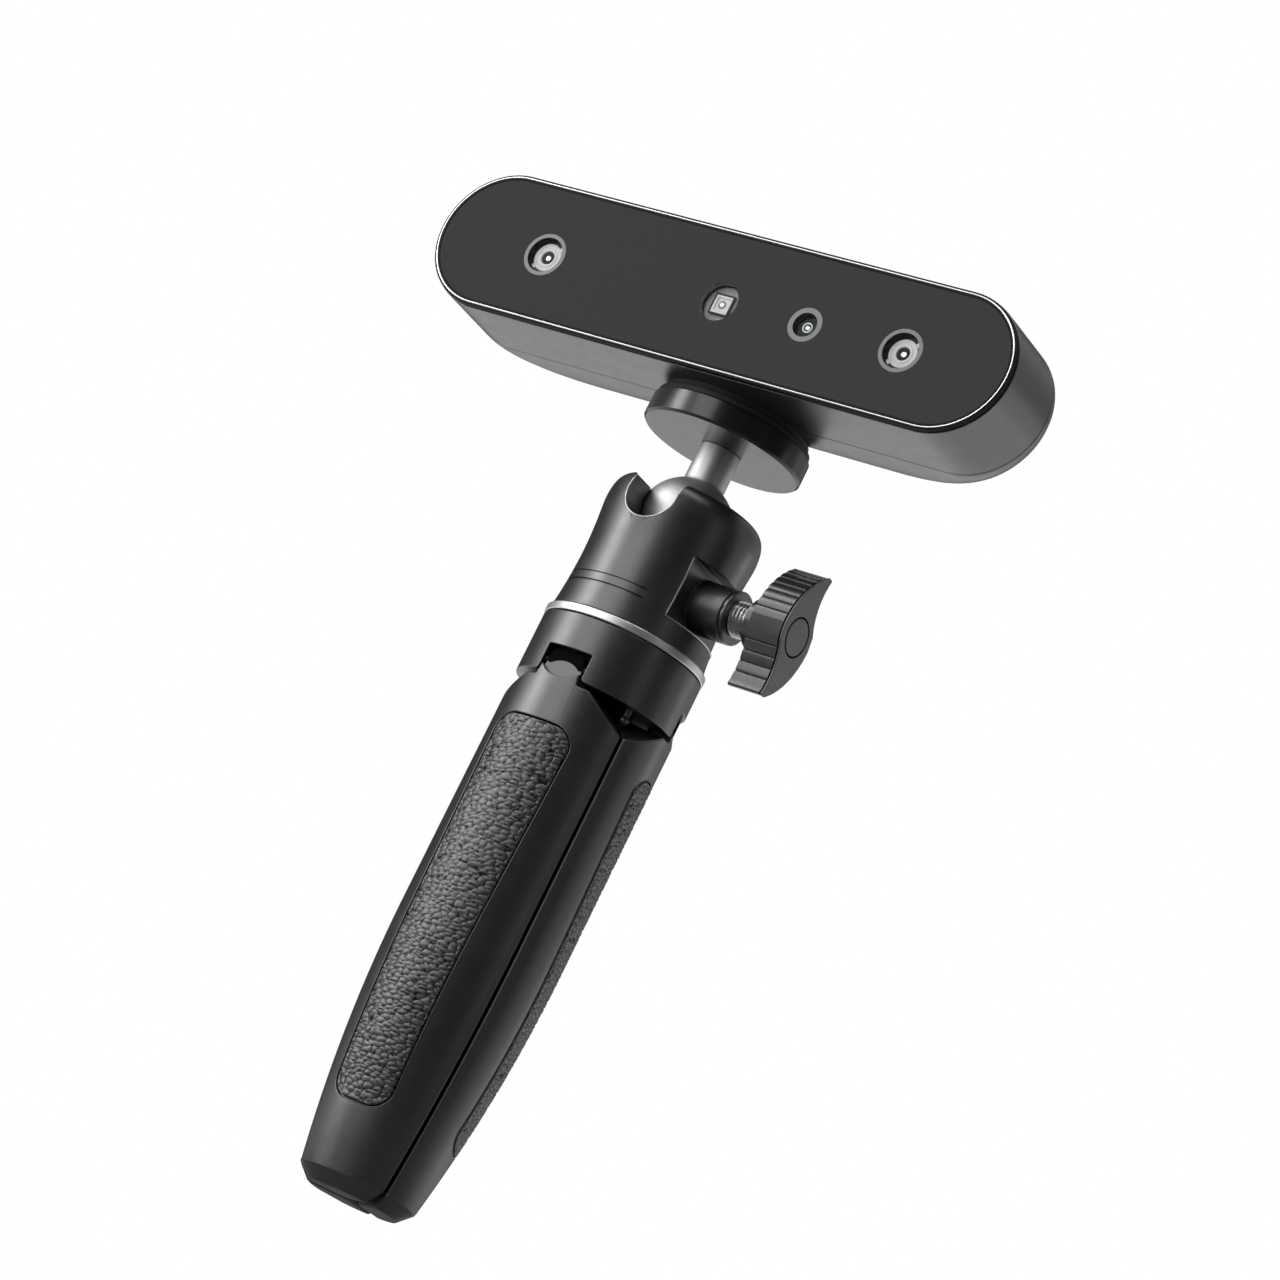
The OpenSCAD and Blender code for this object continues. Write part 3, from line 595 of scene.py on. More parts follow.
@dataclass(frozen=True)
class Metal(Finish):
    """Turned or brushed metal, with fine marks round or along it."""

    mark: float = 0.25
    stretch: tuple[float, float, float] = (0.04, 0.04, 1)

    def build(self, graph: Graph) -> bpy.types.Material:
        """Builds the tool marks in a graph and returns the material."""
        marks = graph.noise(self.mark, 2, self.stretch)
        colour = graph.shade(graph.between(marks, 0, 1), tint(self.colour, 0.95), tint(self.colour, 1.04))
        return graph.surface({
            "Base Color": colour,
            "Metallic": 1.0,
            "Roughness": graph.between(marks, self.roughness - 0.02, self.roughness + 0.02),
        })


@dataclass(frozen=True)
class Leather(Finish):
    """Pebbled leather: its colour is painted dark in the creases of its own shape as painted shade and a
    little lighter on the crests, with finer pores on top.
    """

    pore: float = 0.55
    depth: float = 0.012

    def build(self, graph: Graph) -> bpy.types.Material:
        """Builds the painted shade of the creases, the lighter crests and the pores in a graph and returns
        the material.
        """
        warp = graph.add("TexNoise", {"Vector": graph.place(), "Scale": 900, "Detail": 3})
        bent = graph.add("VectorMath", {0: warp.outputs["Color"], "Scale": 0.6 * MM}, operation="SCALE")
        moved = graph.add("VectorMath", {0: graph.place(), 1: bent.outputs[0]}, operation="ADD").outputs[0]
        size = 1 / (self.pore * MM)
        cells = graph.add("TexVoronoi", {"Vector": moved, "Scale": size}, feature="DISTANCE_TO_EDGE")
        pores = graph.ranged(cells.outputs[0], 0.0, 0.3)
        # Painted shade: the colour falls to a tenth in the creases and rises a little on the crests; the
        # specular level and the coat fall in the creases too.
        high = graph.add("Attribute", attribute_name=CREASE_SHADE).outputs["Fac"]
        crest = graph.ranged(high, 0.15, 0.9)
        colour = graph.shade(crest, tint(self.colour, 0.1), tint(self.colour, 1.1))
        sheen = graph.ranged(crest, 0.0, 1.0, 0.05)
        return graph.surface({
            "Base Color": colour,
            "Roughness": graph.between(graph.noise(0.8, 2), self.roughness - 0.05, self.roughness + 0.08),
            "Specular IOR Level": sheen,
            "Coat Weight": graph.calculate("MULTIPLY", sheen, 0.35),
            "Coat Roughness": self.roughness,
            "Normal": graph.bump(pores, self.depth),
        })


@dataclass(frozen=True)
class Clear(Finish):
    """Thin clear glass: it shows what lies behind it and a faint reflection."""

    shine: float = 0.5

    def build(self, graph: Graph) -> bpy.types.Material:
        """Builds a see-through surface with a glossy skin in a graph and returns the material."""
        smear = graph.between(graph.noise(2.5, 3), self.roughness, self.roughness + 0.02)
        skin = graph.add("BsdfGlossy", {"Color": WHITE, "Roughness": smear})
        through = graph.add("BsdfTransparent", {"Color": (*self.colour, 1)})
        edge = graph.add("Fresnel", {"IOR": 1.45}).outputs[0]
        return graph.end(graph.mixed(graph.calculate("MULTIPLY", edge, self.shine), through, skin))


class Finishes:
    """Every finish of the object."""

    HOUSING = Moulded("satin_black_coat", (0.006, 0.006, 0.0062), 0.36, grain_depth=0.002)
    HUB = Moulded("hub_satin_black", (0.006, 0.006, 0.0062), 0.37, grain_depth=0.002)
    LEG = Moulded("leg_satin_black", (0.006, 0.006, 0.0062), 0.37, grain_depth=0.002)
    FOOT = Moulded("foot_fine_black", (0.012, 0.012, 0.0122), 0.34)
    LEATHER = Leather("pebbled_leather", (0.012, 0.012, 0.015), 0.42)
    SILVER = Metal("brushed_silver", (0.72, 0.72, 0.73), 0.42)
    BALL = Metal("polished_ball", (0.6, 0.6, 0.61), 0.5)
    STEEL = Metal("turned_steel", (0.35, 0.35, 0.36), 0.36)
    PIN = Metal("blackened_steel", (0.015, 0.015, 0.016), 0.5)
    SEAT = Moulded("natural_acetal", (0.45, 0.44, 0.41), 0.5, specular=0.5, coat=0.0)
    BUSH = Metal("nickelled_brass", (0.55, 0.55, 0.55), 0.28)
    KNOB = Moulded("knob_satin_black", (0.016, 0.016, 0.0162), 0.22, grain_depth=0.0006, spread=0.02,
                   coat=1.0)
    KNOB_FACE = Moulded("knob_cap_black", (0.045, 0.045, 0.0455), 0.42, grain_depth=0.002, specular=0.7)
    DISC = Moulded("polished_black", (0.006, 0.006, 0.006), 0.24, grain_depth=0.0004, spread=0.02,
                   specular=0.6, coat=0.05)
    PAD = Moulded("matt_rubber", (0.008, 0.008, 0.008), 0.7, grain=0.3, grain_depth=0.01, specular=0.5,
                  coat=0.0)
    SHELL = Moulded("shell_fine_black", (0.016, 0.016, 0.0162), 0.36, grain_depth=0.002, mottle=0.04)
    COVER = Moulded("cover_fine_black", (0.024, 0.024, 0.0242), 0.36, grain_depth=0.002, mottle=0.04)
    BEZEL = Metal("cut_aluminium", (0.75, 0.75, 0.76), 0.25, stretch=(1, 1, 1))
    FRONT = Moulded("printed_glass", (0.004, 0.004, 0.004), 0.05, grain_depth=0.0, mottle=0.02, spread=0.01,
                    specular=0.5, coat=0.0, wear_and_highlight=0.0)
    WINDOW = Clear("clear_window", (0.985, 0.99, 0.988), 0.02, shine=0.3)
    LENS = Moulded("coated_lens", (0.01, 0.016, 0.015), 0.04, grain_depth=0.0, spread=0.01, coat=1.0,
                   wear_and_highlight=0.0)
    # A bright mirror finish for the small lens discs, brighter than a real lens, which gives a painted glint.
    GLINT = Metal("lens_glint_mirror", (0.9, 0.93, 0.92), 0.12)
    # Matt black for the insides of the cameras, and also the painted shade of the hinge sheets and of the
    # knob's groove.
    MATT_BLACK_AND_SHADE = Moulded("matt_black_and_painted_shade", (0.003, 0.003, 0.003), 0.8, specular=0.02, coat=0.0, wear_and_highlight=0.0)
    CAST = Metal("die_cast", (0.3, 0.3, 0.31), 0.45, stretch=(1, 1, 1))
    CAMERA = Moulded("camera_light_grey", (0.62, 0.62, 0.62), 0.42, specular=0.5, coat=0.0, wear_and_highlight=0.1)
    WELL = Moulded("camera_well_grey", (0.24, 0.24, 0.24), 0.5, specular=0.4, coat=0.0)
    BOARD = Moulded("solder_mask", (0.01, 0.09, 0.05), 0.35, mottle=0.4, specular=0.5, coat=0.0)
    SWITCH = Moulded("switch_moulded_black", (0.02, 0.02, 0.02), 0.5, specular=0.5, coat=0.0)
    GUIDE = Moulded("frosted_guide", (0.75, 0.9, 0.84), 0.35, specular=0.5, coat=0.0)
    BUTTON = Moulded("button_fine_black", (0.02, 0.02, 0.0205), 0.45)
    RIM = Metal("pad_rim_edge", (0.1, 0.1, 0.102), 0.35)
    # A bright metal finish for the beads along the housing's black edges: a painted highlight.
    HIGHLIGHT_BEAD = Metal("painted_edge_highlight", (0.6, 0.6, 0.61), 0.38)
    # Matt black for the two rings beside the bezel; on the outer ring it is painted shadow of the shell's
    # rim.
    BLACK_TRIM_AND_SHADE = Moulded("matt_black_trim_and_shade", (0.003, 0.003, 0.003), 0.5, specular=0.1, coat=0.0, wear_and_highlight=0.0)
    PRINT = Moulded("printed_grey", (0.15, 0.15, 0.15), 0.4, grain_depth=0.0004, specular=0.5, coat=0.0,
                    wear_and_highlight=0.0)


NODE_FINISHES = {
    "satin_black": Finishes.HOUSING,
    "hub_black": Finishes.HUB,
    "leg_black": Finishes.LEG,
    "grip": Finishes.LEATHER,
    "foot_black": Finishes.FOOT,
    "silver": Finishes.SILVER,
    "steel": Finishes.STEEL,
    "stud_metal": Finishes.BALL,
    "seat": Finishes.SEAT,
    "bush_metal": Finishes.BUSH,
    "knob_black": Finishes.KNOB,
    "disc_black": Finishes.DISC,
    "pad_rubber": Finishes.PAD,
    "shell_black": Finishes.SHELL,
    "cover_grey": Finishes.COVER,
    "bezel": Finishes.BEZEL,
    "front_black": Finishes.FRONT,
    "window": Finishes.WINDOW,
    "lens_glass": Finishes.LENS,
    "inner_black": Finishes.MATT_BLACK_AND_SHADE,
    "inner_metal": Finishes.CAST,
    "camera_grey": Finishes.CAMERA,
    "board_green": Finishes.BOARD,
    "switch_black": Finishes.SWITCH,
    "light_guide": Finishes.GUIDE,
    "button_grey": Finishes.BUTTON,
}


def around_axis(form: Form, degrees: float) -> Form:
    """Turns a form about the handle's axis and returns it."""
    return form.move(Matrix.Rotation(math.radians(degrees), 4, "Z"))


@dataclass
class Legs:
    """The three legs with their leather pads and feet, which close into a round grip."""

    top: float = 119.8
    radius: float = 19.3
    taper: float = 6.1
    taper_from: float = 64.3
    gap: float = 0.7
    foot_top: float = 3.6
    edge: float = 0.65
    shoulder_in: float = 8.4
    shoulder_out: float = 17.6
    shoulder_low: float = 113.0
    channel: tuple[float, float] = (11.6, 108.8)
    core_radius: float = 9.2
    hollow_radius: float = 7.0
    knuckle: float = 3.0
    tab_half: float = 5.3
    tab_back: float = -13.9
    tab_top: float = 126.7
    scoop_back: float = -17.7
    scoop_half: float = 6.0
    scoop_radius: float = 7.0
    scoop_middle: float = 127.4
    tab_room: float = 130.0
    pad_low: float = 18.3
    pad_high: float = 109.8
    pad_widths: tuple[float, float] = (7.2, 10.0)
    pad_corners: tuple[float, float] = (4.8, 4.6)
    pad_depth: float = 1.1
    pad_groove: float = 0.34
    pad_edge: float = 0.45
    relief: float = 0.33
    pebble: tuple[float, float] = (2.0, 1.0)

    def radius_at(self, z: float) -> float:
        """Gives the closed legs' radius at a height."""
        below = max(0.0, self.taper_from - z) / self.taper_from
        return self.radius - self.taper * below * below

    def spaced(self, low: float, high: float, count: int) -> list[float]:
        """Gives evenly spaced places from low to high."""
        return [low + (high - low) * index / count for index in range(count + 1)]

    def sector(self, z: float, radius: float, edge: float, gap: float | None = None) -> list[Vector]:
        """Gives a leg's outline at a height, with its two outer edges rounded.

        Args:
            z: The height.
            radius: The leg's radius there.
            edge: The radius of the two edges.
            gap: The gap to the next leg, where it isn't the usual one.

        Returns:
            The outline's points.
        """
        shift = (gap or self.gap) / 2 / math.sin(math.radians(60))
        skin = arc((0, -shift), radius - shift, -150, -30, 52)
        del skin[1:3], skin[-3:-1]
        skin[0] = (*skin[0][:2], edge)
        skin[-1] = (*skin[-1][:2], edge)
        outline = rounded([(0, -shift - 0.4, 0), *skin], closed=True, steps=4)
        return [Vector((point.x, point.y, z)) for point in outline]

    def pad_outline(self, grow: float) -> list[Vector]:
        """Gives the pad's outline in X and Z, grown on every side."""
        low, high = self.pad_low - grow, self.pad_high + grow
        narrow, wide = (width + grow for width in self.pad_widths)
        low_corner, high_corner = (corner + grow for corner in self.pad_corners)
        corners = [
            (narrow, low, low_corner), (wide, high, high_corner),
            (-wide, high, high_corner), (-narrow, low, low_corner)
        ]
        return rounded(corners, closed=True, steps=14)

    def bend(self, form: Form, columns: int, rows: int) -> Form:
        """Divides a plate finely and bends it round the legs' surface.

        Args:
            form: The plate, drawn in X and Z, with its distance out from the surface as -Y.
            columns: The divisions across.
            rows: The divisions along.

        Returns:
            The form.
        """
        mesh = bmesh.new()
        mesh.from_mesh(form.piece.data)
        span = self.pad_widths[1] + 1
        cuts = [((x, 0, 0), (1, 0, 0)) for x in self.spaced(-span, span, columns)]
        cuts += [((0, 0, z), (0, 0, 1)) for z in self.spaced(self.pad_low - 1, self.pad_high + 1, rows)]
        for place, way in cuts:
            everything = mesh.verts[:] + mesh.edges[:] + mesh.faces[:]
            bmesh.ops.bisect_plane(mesh, geom=everything, plane_co=place, plane_no=way, dist=0.01)
        for vertex in mesh.verts:
            reach = self.radius_at(vertex.co.z) - vertex.co.y
            vertex.co.y = -math.sqrt(reach * reach - vertex.co.x * vertex.co.x)
        mesh.to_mesh(form.piece.data)
        mesh.free()
        return form

    def recess(self) -> Form:
        """Makes the cutter of a pad's recess, bent round the leg."""
        plate = Form.extruded("recess", self.pad_outline(self.pad_groove), self.pad_depth, -4)
        return self.bend(plate, 24, 92)

    def shoulder(self, side: int) -> Form:
        """Makes the wedge that is cut from a leg's shoulder on one side."""
        inner, outer, low, high = self.shoulder_in, self.shoulder_out, self.shoulder_low, self.top + 2
        outline = [(inner, high), (inner, self.top), (outer, low), (30, low), (30, high)]
        return Form.extruded("wedge", vectors(*((side * x, z) for x, z in outline)), -30, -3)

    def beside_tab(self, side: int) -> Form:
        """Makes the block that is cut away beside a leg's tab, with a fillet at the tab's foot."""
        half, lean, low, high = self.tab_half, 1.3, self.top, self.tab_room
        outline = [(half - lean, high, 0), (half - lean, 126, 0), (half, low + 1.6, 1.0), (half, low, 0.7),
                   (30, low, 0), (30, high, 0)]
        corners = [(side * x, z, radius) for x, z, radius in outline]
        return Form.extruded("beside", rounded(corners, closed=True), -30, 2)

    def trim_tab(self, leg: Form) -> None:
        """Cuts a leg's top down to the tab that turns on the hinge pin, with a scoop in its face."""
        leg.cut(self.beside_tab(1)).cut(self.beside_tab(-1))
        half, front, high = 8, 2, self.tab_room
        leg.cut(Form.block("behind", (-half, self.tab_back, self.top), (half, front, high)))
        z = HINGE[1]
        nose = [*arc(HINGE, self.knuckle, 180, 20, 20), (front, z + 1), (front, high), (-25, high), (-25, z)]
        leg.cut(Form.extruded(
            "nose", vectors(*nose), -half, half, lambda across, up, x: Vector((x, across, up))
        ))
        leg.cut(self.scoop())

    def scoop(self) -> Form:
        """Makes the cutter of the scoop in a tab's face, with a round lower edge."""
        half, high, low = self.scoop_half, self.tab_room, 123.5
        curve = arc((0, self.scoop_middle), self.scoop_radius, 214, 326, 28)
        outline = vectors((-half, high), (-half, low), *curve, (half, low), (half, high))
        return Form.extruded("scoop", outline, -25, self.scoop_back)

    def shadow_sheet_over_hinge(self, name: str) -> Form:
        """Makes the dark sheet over the hinge pin, in the upper part of a tab's scoop: a painted shadow where
        the scoop lies in shade.
        """
        curve = arc((0, 118.2), 6.3, 128, 52, 12)
        outline = [(-3.95, 126.5, 0.1), (-4.75, 123.4, 0), *curve, (4.75, 123.4, 0), (3.95, 126.5, 0.1)]
        near = self.scoop_back - 0.15
        return Form.extruded(name, rounded(outline, closed=True), near, near + 0.17)

    def leg(self, name: str) -> Form:
        """Makes the leg that faces the front.

        Args:
            name: The leg's name.

        Returns:
            The form.
        """
        heights = [*self.spaced(1, self.taper_from, 36), self.tab_top]
        leg = Form.loft(name, [self.sector(z, self.radius_at(z), self.edge) for z in heights])
        low, high = self.channel
        hollow = vectors((self.hollow_radius, low), (self.hollow_radius, high), (self.core_radius, high),
                         (self.core_radius, self.top + 2))
        leg.cut(Form.turned("hollow", hollow, segments=96))
        half, wall = 5, 4.4
        rings = []
        for z in self.spaced(low + 3, high - 6, 12):
            back = wall - self.radius_at(z)
            rings.append([Vector((x, y, z)) for x, y in ((-half, back), (half, back), (half, 0), (-half, 0))])
        leg.cut(Form.loft("channel", rings))
        leg.cut(self.shoulder(1))
        leg.cut(self.shoulder(-1))
        self.trim_tab(leg)
        leg.cut(self.recess())
        leg.soften(0.3, angle=28, steps=3)
        return leg.cut(Form.block("below", (-20, -25, -2), (20, 5, self.foot_top)))

    def rim(self, name: str) -> Form:
        """Makes the fine bead round the recess of a pad."""
        outline = self.pad_outline(self.pad_groove + 0.1)
        path, outward = [], []
        for index, point in enumerate(outline):
            after = outline[(index + 1) % len(outline)]
            pieces = max(1, round((after - point).length / 1.2))
            for step in range(pieces):
                place = point.lerp(after, step / pieces)
                reach = self.radius_at(place.y) - 0.06
                path.append(Vector((place.x, -math.sqrt(reach * reach - place.x * place.x), place.y)))
                outward.append(Vector((place.x, path[-1].y, 0)).normalized())
        return Form.tube(name, path, outward, 0.14, closed=True)

    def grain(self, x: float, z: float, seed: int) -> tuple[float, float]:
        """Gives the relief of the leather's pebbles at a place.

        Args:
            x: The place across the pad.
            z: The place along it.
            seed: A number for each pad, so that no two are alike.

        Returns:
            The surface's height, and how far the place is out of a crease, which sets the painted shade of
            the creases; each from 0 to 1.
        """
        place = Vector((x / self.pebble[0], z / self.pebble[1], 9.0 * seed))
        place += noise.noise_vector(place * 0.45) * 0.55 + noise.noise_vector(place * 1.2) * 0.15
        nearest, second = self.pebbles(place.x, place.y, seed)
        crease = min(1.0, (second - nearest) / 0.2)
        dome = 1 - min(1.0, nearest * nearest * 1.3)
        return 0.55 * math.sqrt(min(1.0, (second - nearest) / 0.5)) + 0.45 * dome, crease

    def pebbles(self, x: float, z: float, seed: int) -> tuple[float, float]:
        """Gives the distances from a place to the middles of its two nearest pebbles."""
        distances = []
        for column in range(math.floor(x) - 1, math.floor(x) + 2):
            for row in range(math.floor(z) - 1, math.floor(z) + 2):
                middle = noise.cell_vector(Vector((column + 0.5, row + 0.5, seed + 0.5)))
                distances.append(math.hypot(x - column - middle.x, z - row - middle.y))
        distances.sort()
        return distances[0], distances[1]

    def pad_width(self, z: float) -> float:
        """Gives half the pad's width at a height, with its rounded corners."""
        span = self.pad_high - self.pad_low
        share = (z - self.pad_low) / span
        width = self.pad_widths[0] + (self.pad_widths[1] - self.pad_widths[0]) * share
        for corner, left in zip(self.pad_corners, (z - self.pad_low, self.pad_high - z)):
            if left < corner:
                width -= corner - math.sqrt(corner * corner - (corner - left) ** 2)
        return width

    def leather(self, name: str, seed: int) -> Form:
        """Makes a pad whose outer face has the leather's pebbles, with the mask of the creases' painted shade
        on its points.

        Args:
            name: The form's name.
            seed: A number for each pad.

        Returns:
            The form.
        """
        columns, rows, edge = 84, 370, self.pad_edge
        quarter = math.pi / 2 * 0.94
        ends = [0.0, 0.04, 0.12, 0.25, 0.45, 0.7, 1.0, 1.3, 1.65]
        middle = self.spaced(self.pad_low + 2, self.pad_high - 2, rows)
        heights = [self.pad_low + end for end in ends] + middle + [self.pad_high - end for end in ends[::-1]]
        rings, crease_shades = [], []
        for z in heights:
            width = self.pad_width(z)
            ring = []
            for column in range(columns + 1):
                x = width * math.sin(quarter * (2 * column / columns - 1)) / math.sin(quarter)
                border = min(width - abs(x) + 0.02, z - self.pad_low, self.pad_high - z)
                near = min(1.0, max(0.0, border) / edge)
                fall = edge * (1 - math.sqrt(1 - (1 - near) ** 2)) * 0.8
                height, open_part = self.grain(x, z, seed)
                crease_shades.append(open_part)
                reach = self.radius_at(z) + 0.1 - fall - self.relief * (1 - height) * near
                ring.append(Vector((x, -math.sqrt(reach * reach - x * x), z)))
            back = self.radius_at(z) - self.pad_depth + 0.05
            for x in (width, -width):
                ring.append(Vector((x, -math.sqrt(back * back - x * x), z)))
                crease_shades.append(0.0)
            rings.append(ring)
        form = Form.loft(name, rings)
        # Stores the mask of the painted crease shade on the pad's points.
        form.piece.data.attributes.new(CREASE_SHADE, "FLOAT", "POINT").data.foreach_set("value", crease_shades)
        return form

    def foot(self, name: str) -> Form:
        """Makes the foot of the leg that faces the front, cut off slantwise to its flat sole."""
        edge, chord_in, sole_in, sole_gap = 0.5, 2.9, 2.3, 2.2
        high = []
        for z in (self.foot_top - 0.02, self.foot_top - 0.5):
            high += self.sector(z, self.radius_at(z) - 0.05, edge)
        radius = self.radius_at(0)
        sole = self.sector(0, radius - sole_in, edge, sole_gap)
        low = [Vector((point.x, max(point.y, chord_in - radius), 0)) for point in sole]
        form = Form(name)
        mesh = bmesh.new()
        for point in high + low:
            mesh.verts.new(point)
        bmesh.ops.convex_hull(mesh, input=mesh.verts)
        loose = [vertex for vertex in mesh.verts if not vertex.link_faces]
        bmesh.ops.delete(mesh, geom=loose)
        bmesh.ops.dissolve_limit(mesh, angle_limit=math.radians(1), verts=mesh.verts, edges=mesh.edges)
        mesh.to_mesh(form.piece.data)
        mesh.free()
        return form.soften(edge, angle=20, steps=4)

    def build(self) -> None:
        """Builds and dresses every leg."""
        noise.seed_set(NOISE_SEED)
        for seed, (side, degrees) in enumerate(LEG_TURNS.items()):
            body = f"{side}_leg"
            shell = around_axis(self.leg(f"{side}_leg_shell"), degrees)
            shell.dress(Finishes.LEG, body, "leg_black", [f"leg_{side}"])
            around_axis(self.rim(f"{side}_pad_rim"), degrees).dress(Finishes.RIM, body, "leg_black")
            # A matt black sheet in the upper part of each tab's scoop is painted shadow.
            cover = around_axis(self.shadow_sheet_over_hinge(f"{side}_shadow_sheet_over_hinge"), degrees)
            cover.dress(Finishes.MATT_BLACK_AND_SHADE, body, "leg_black")
            pad = around_axis(self.leather(f"{side}_leather_pad", seed), degrees)
            pad.dress(Finishes.LEATHER, body, "grip", [f"grip_pad_{side}"])
            sole = around_axis(self.foot(f"{side}_sole"), degrees)
            sole.dress(Finishes.FOOT, body, "foot_black", [f"foot_{side}"])


@dataclass
class Hub:
    """The hub that the legs hang from, and the bright ring on it."""

    radius: float = 19.2
    low: float = 121.0
    high: float = 135.4
    ring_high: float = 137.6
    ring_radius: float = 19.4
    spigot: float = 14.0
    neck: tuple[float, float] = (12.4, 141.6)
    bore: float = 3.05
    notch: tuple[float, float] = (5.8, 127.3)
    notch_back: float = -12.9
    corner: float = 0.85
    rim: float = 0.3
    pin: float = 1.0
    pin_bore: float = 0.3
    pin_half: float = 6.8

    def notch_cutter(self) -> Form:
        """Makes the notch above the leg that faces the front, with rounded lower corners."""
        half, top = self.notch
        low = self.low - 0.02
        corners = [(-9, low - 1, 0), (-9, low, 0), (-half, low, self.corner), (-half, top, 0.35),
                   (half, top, 0.35), (half, low, self.corner), (9, low, 0), (9, low - 1, 0)]
        return Form.extruded("notch", rounded(corners, closed=True, steps=6), -25, self.notch_back)

    def build(self) -> None:
        """Builds and dresses the hub and the ring."""
        neck_radius, neck_top = self.neck
        hub = Form.ring("leg_hub_shell", [
            (self.bore, self.low, 0), (self.radius, self.low, 0), (self.radius, self.high, self.rim),
            (self.spigot, self.high, 0), (self.spigot, self.ring_high, 0), (neck_radius, self.ring_high, 0),
            (neck_radius, neck_top, 0.3), (self.bore, neck_top, 0)
        ], segments=192)
        for degrees in LEG_TURNS.values():
            hub.cut(around_axis(self.notch_cutter(), degrees))
        hub.soften(0.26, angle=30, steps=3)
        hub.dress(Finishes.HUB, "handle", "hub_black", ["leg_hub"])
        pins = Form("hinge_pins")
        bore, radius, length = self.pin_bore, self.pin, 2 * self.pin_half
        outline = vectors((bore, 0), (radius, 0), (radius, length), (bore, length))
        for degrees in LEG_TURNS.values():
            pin = Form.turned("pin", outline, turn=Turn.ALONG_X, at=(-self.pin_half, *HINGE), segments=32)
            pins.add(around_axis(pin, degrees))
        pins.dress(Finishes.PIN, "handle", "steel", ["leg_pins"])
        inner, low, high = self.spigot + 0.05, self.high + 0.2, self.ring_high - 0.1
        outer = self.ring_radius
        corners = [(inner, low, 0), (outer, low, 0.3), (outer, high, 0.3), (inner, high, 0)]
        ring = Form.ring("bright_ring", corners, segments=192)
        ring.dress(Finishes.SILVER, "handle", "silver", ["silver_ring"])


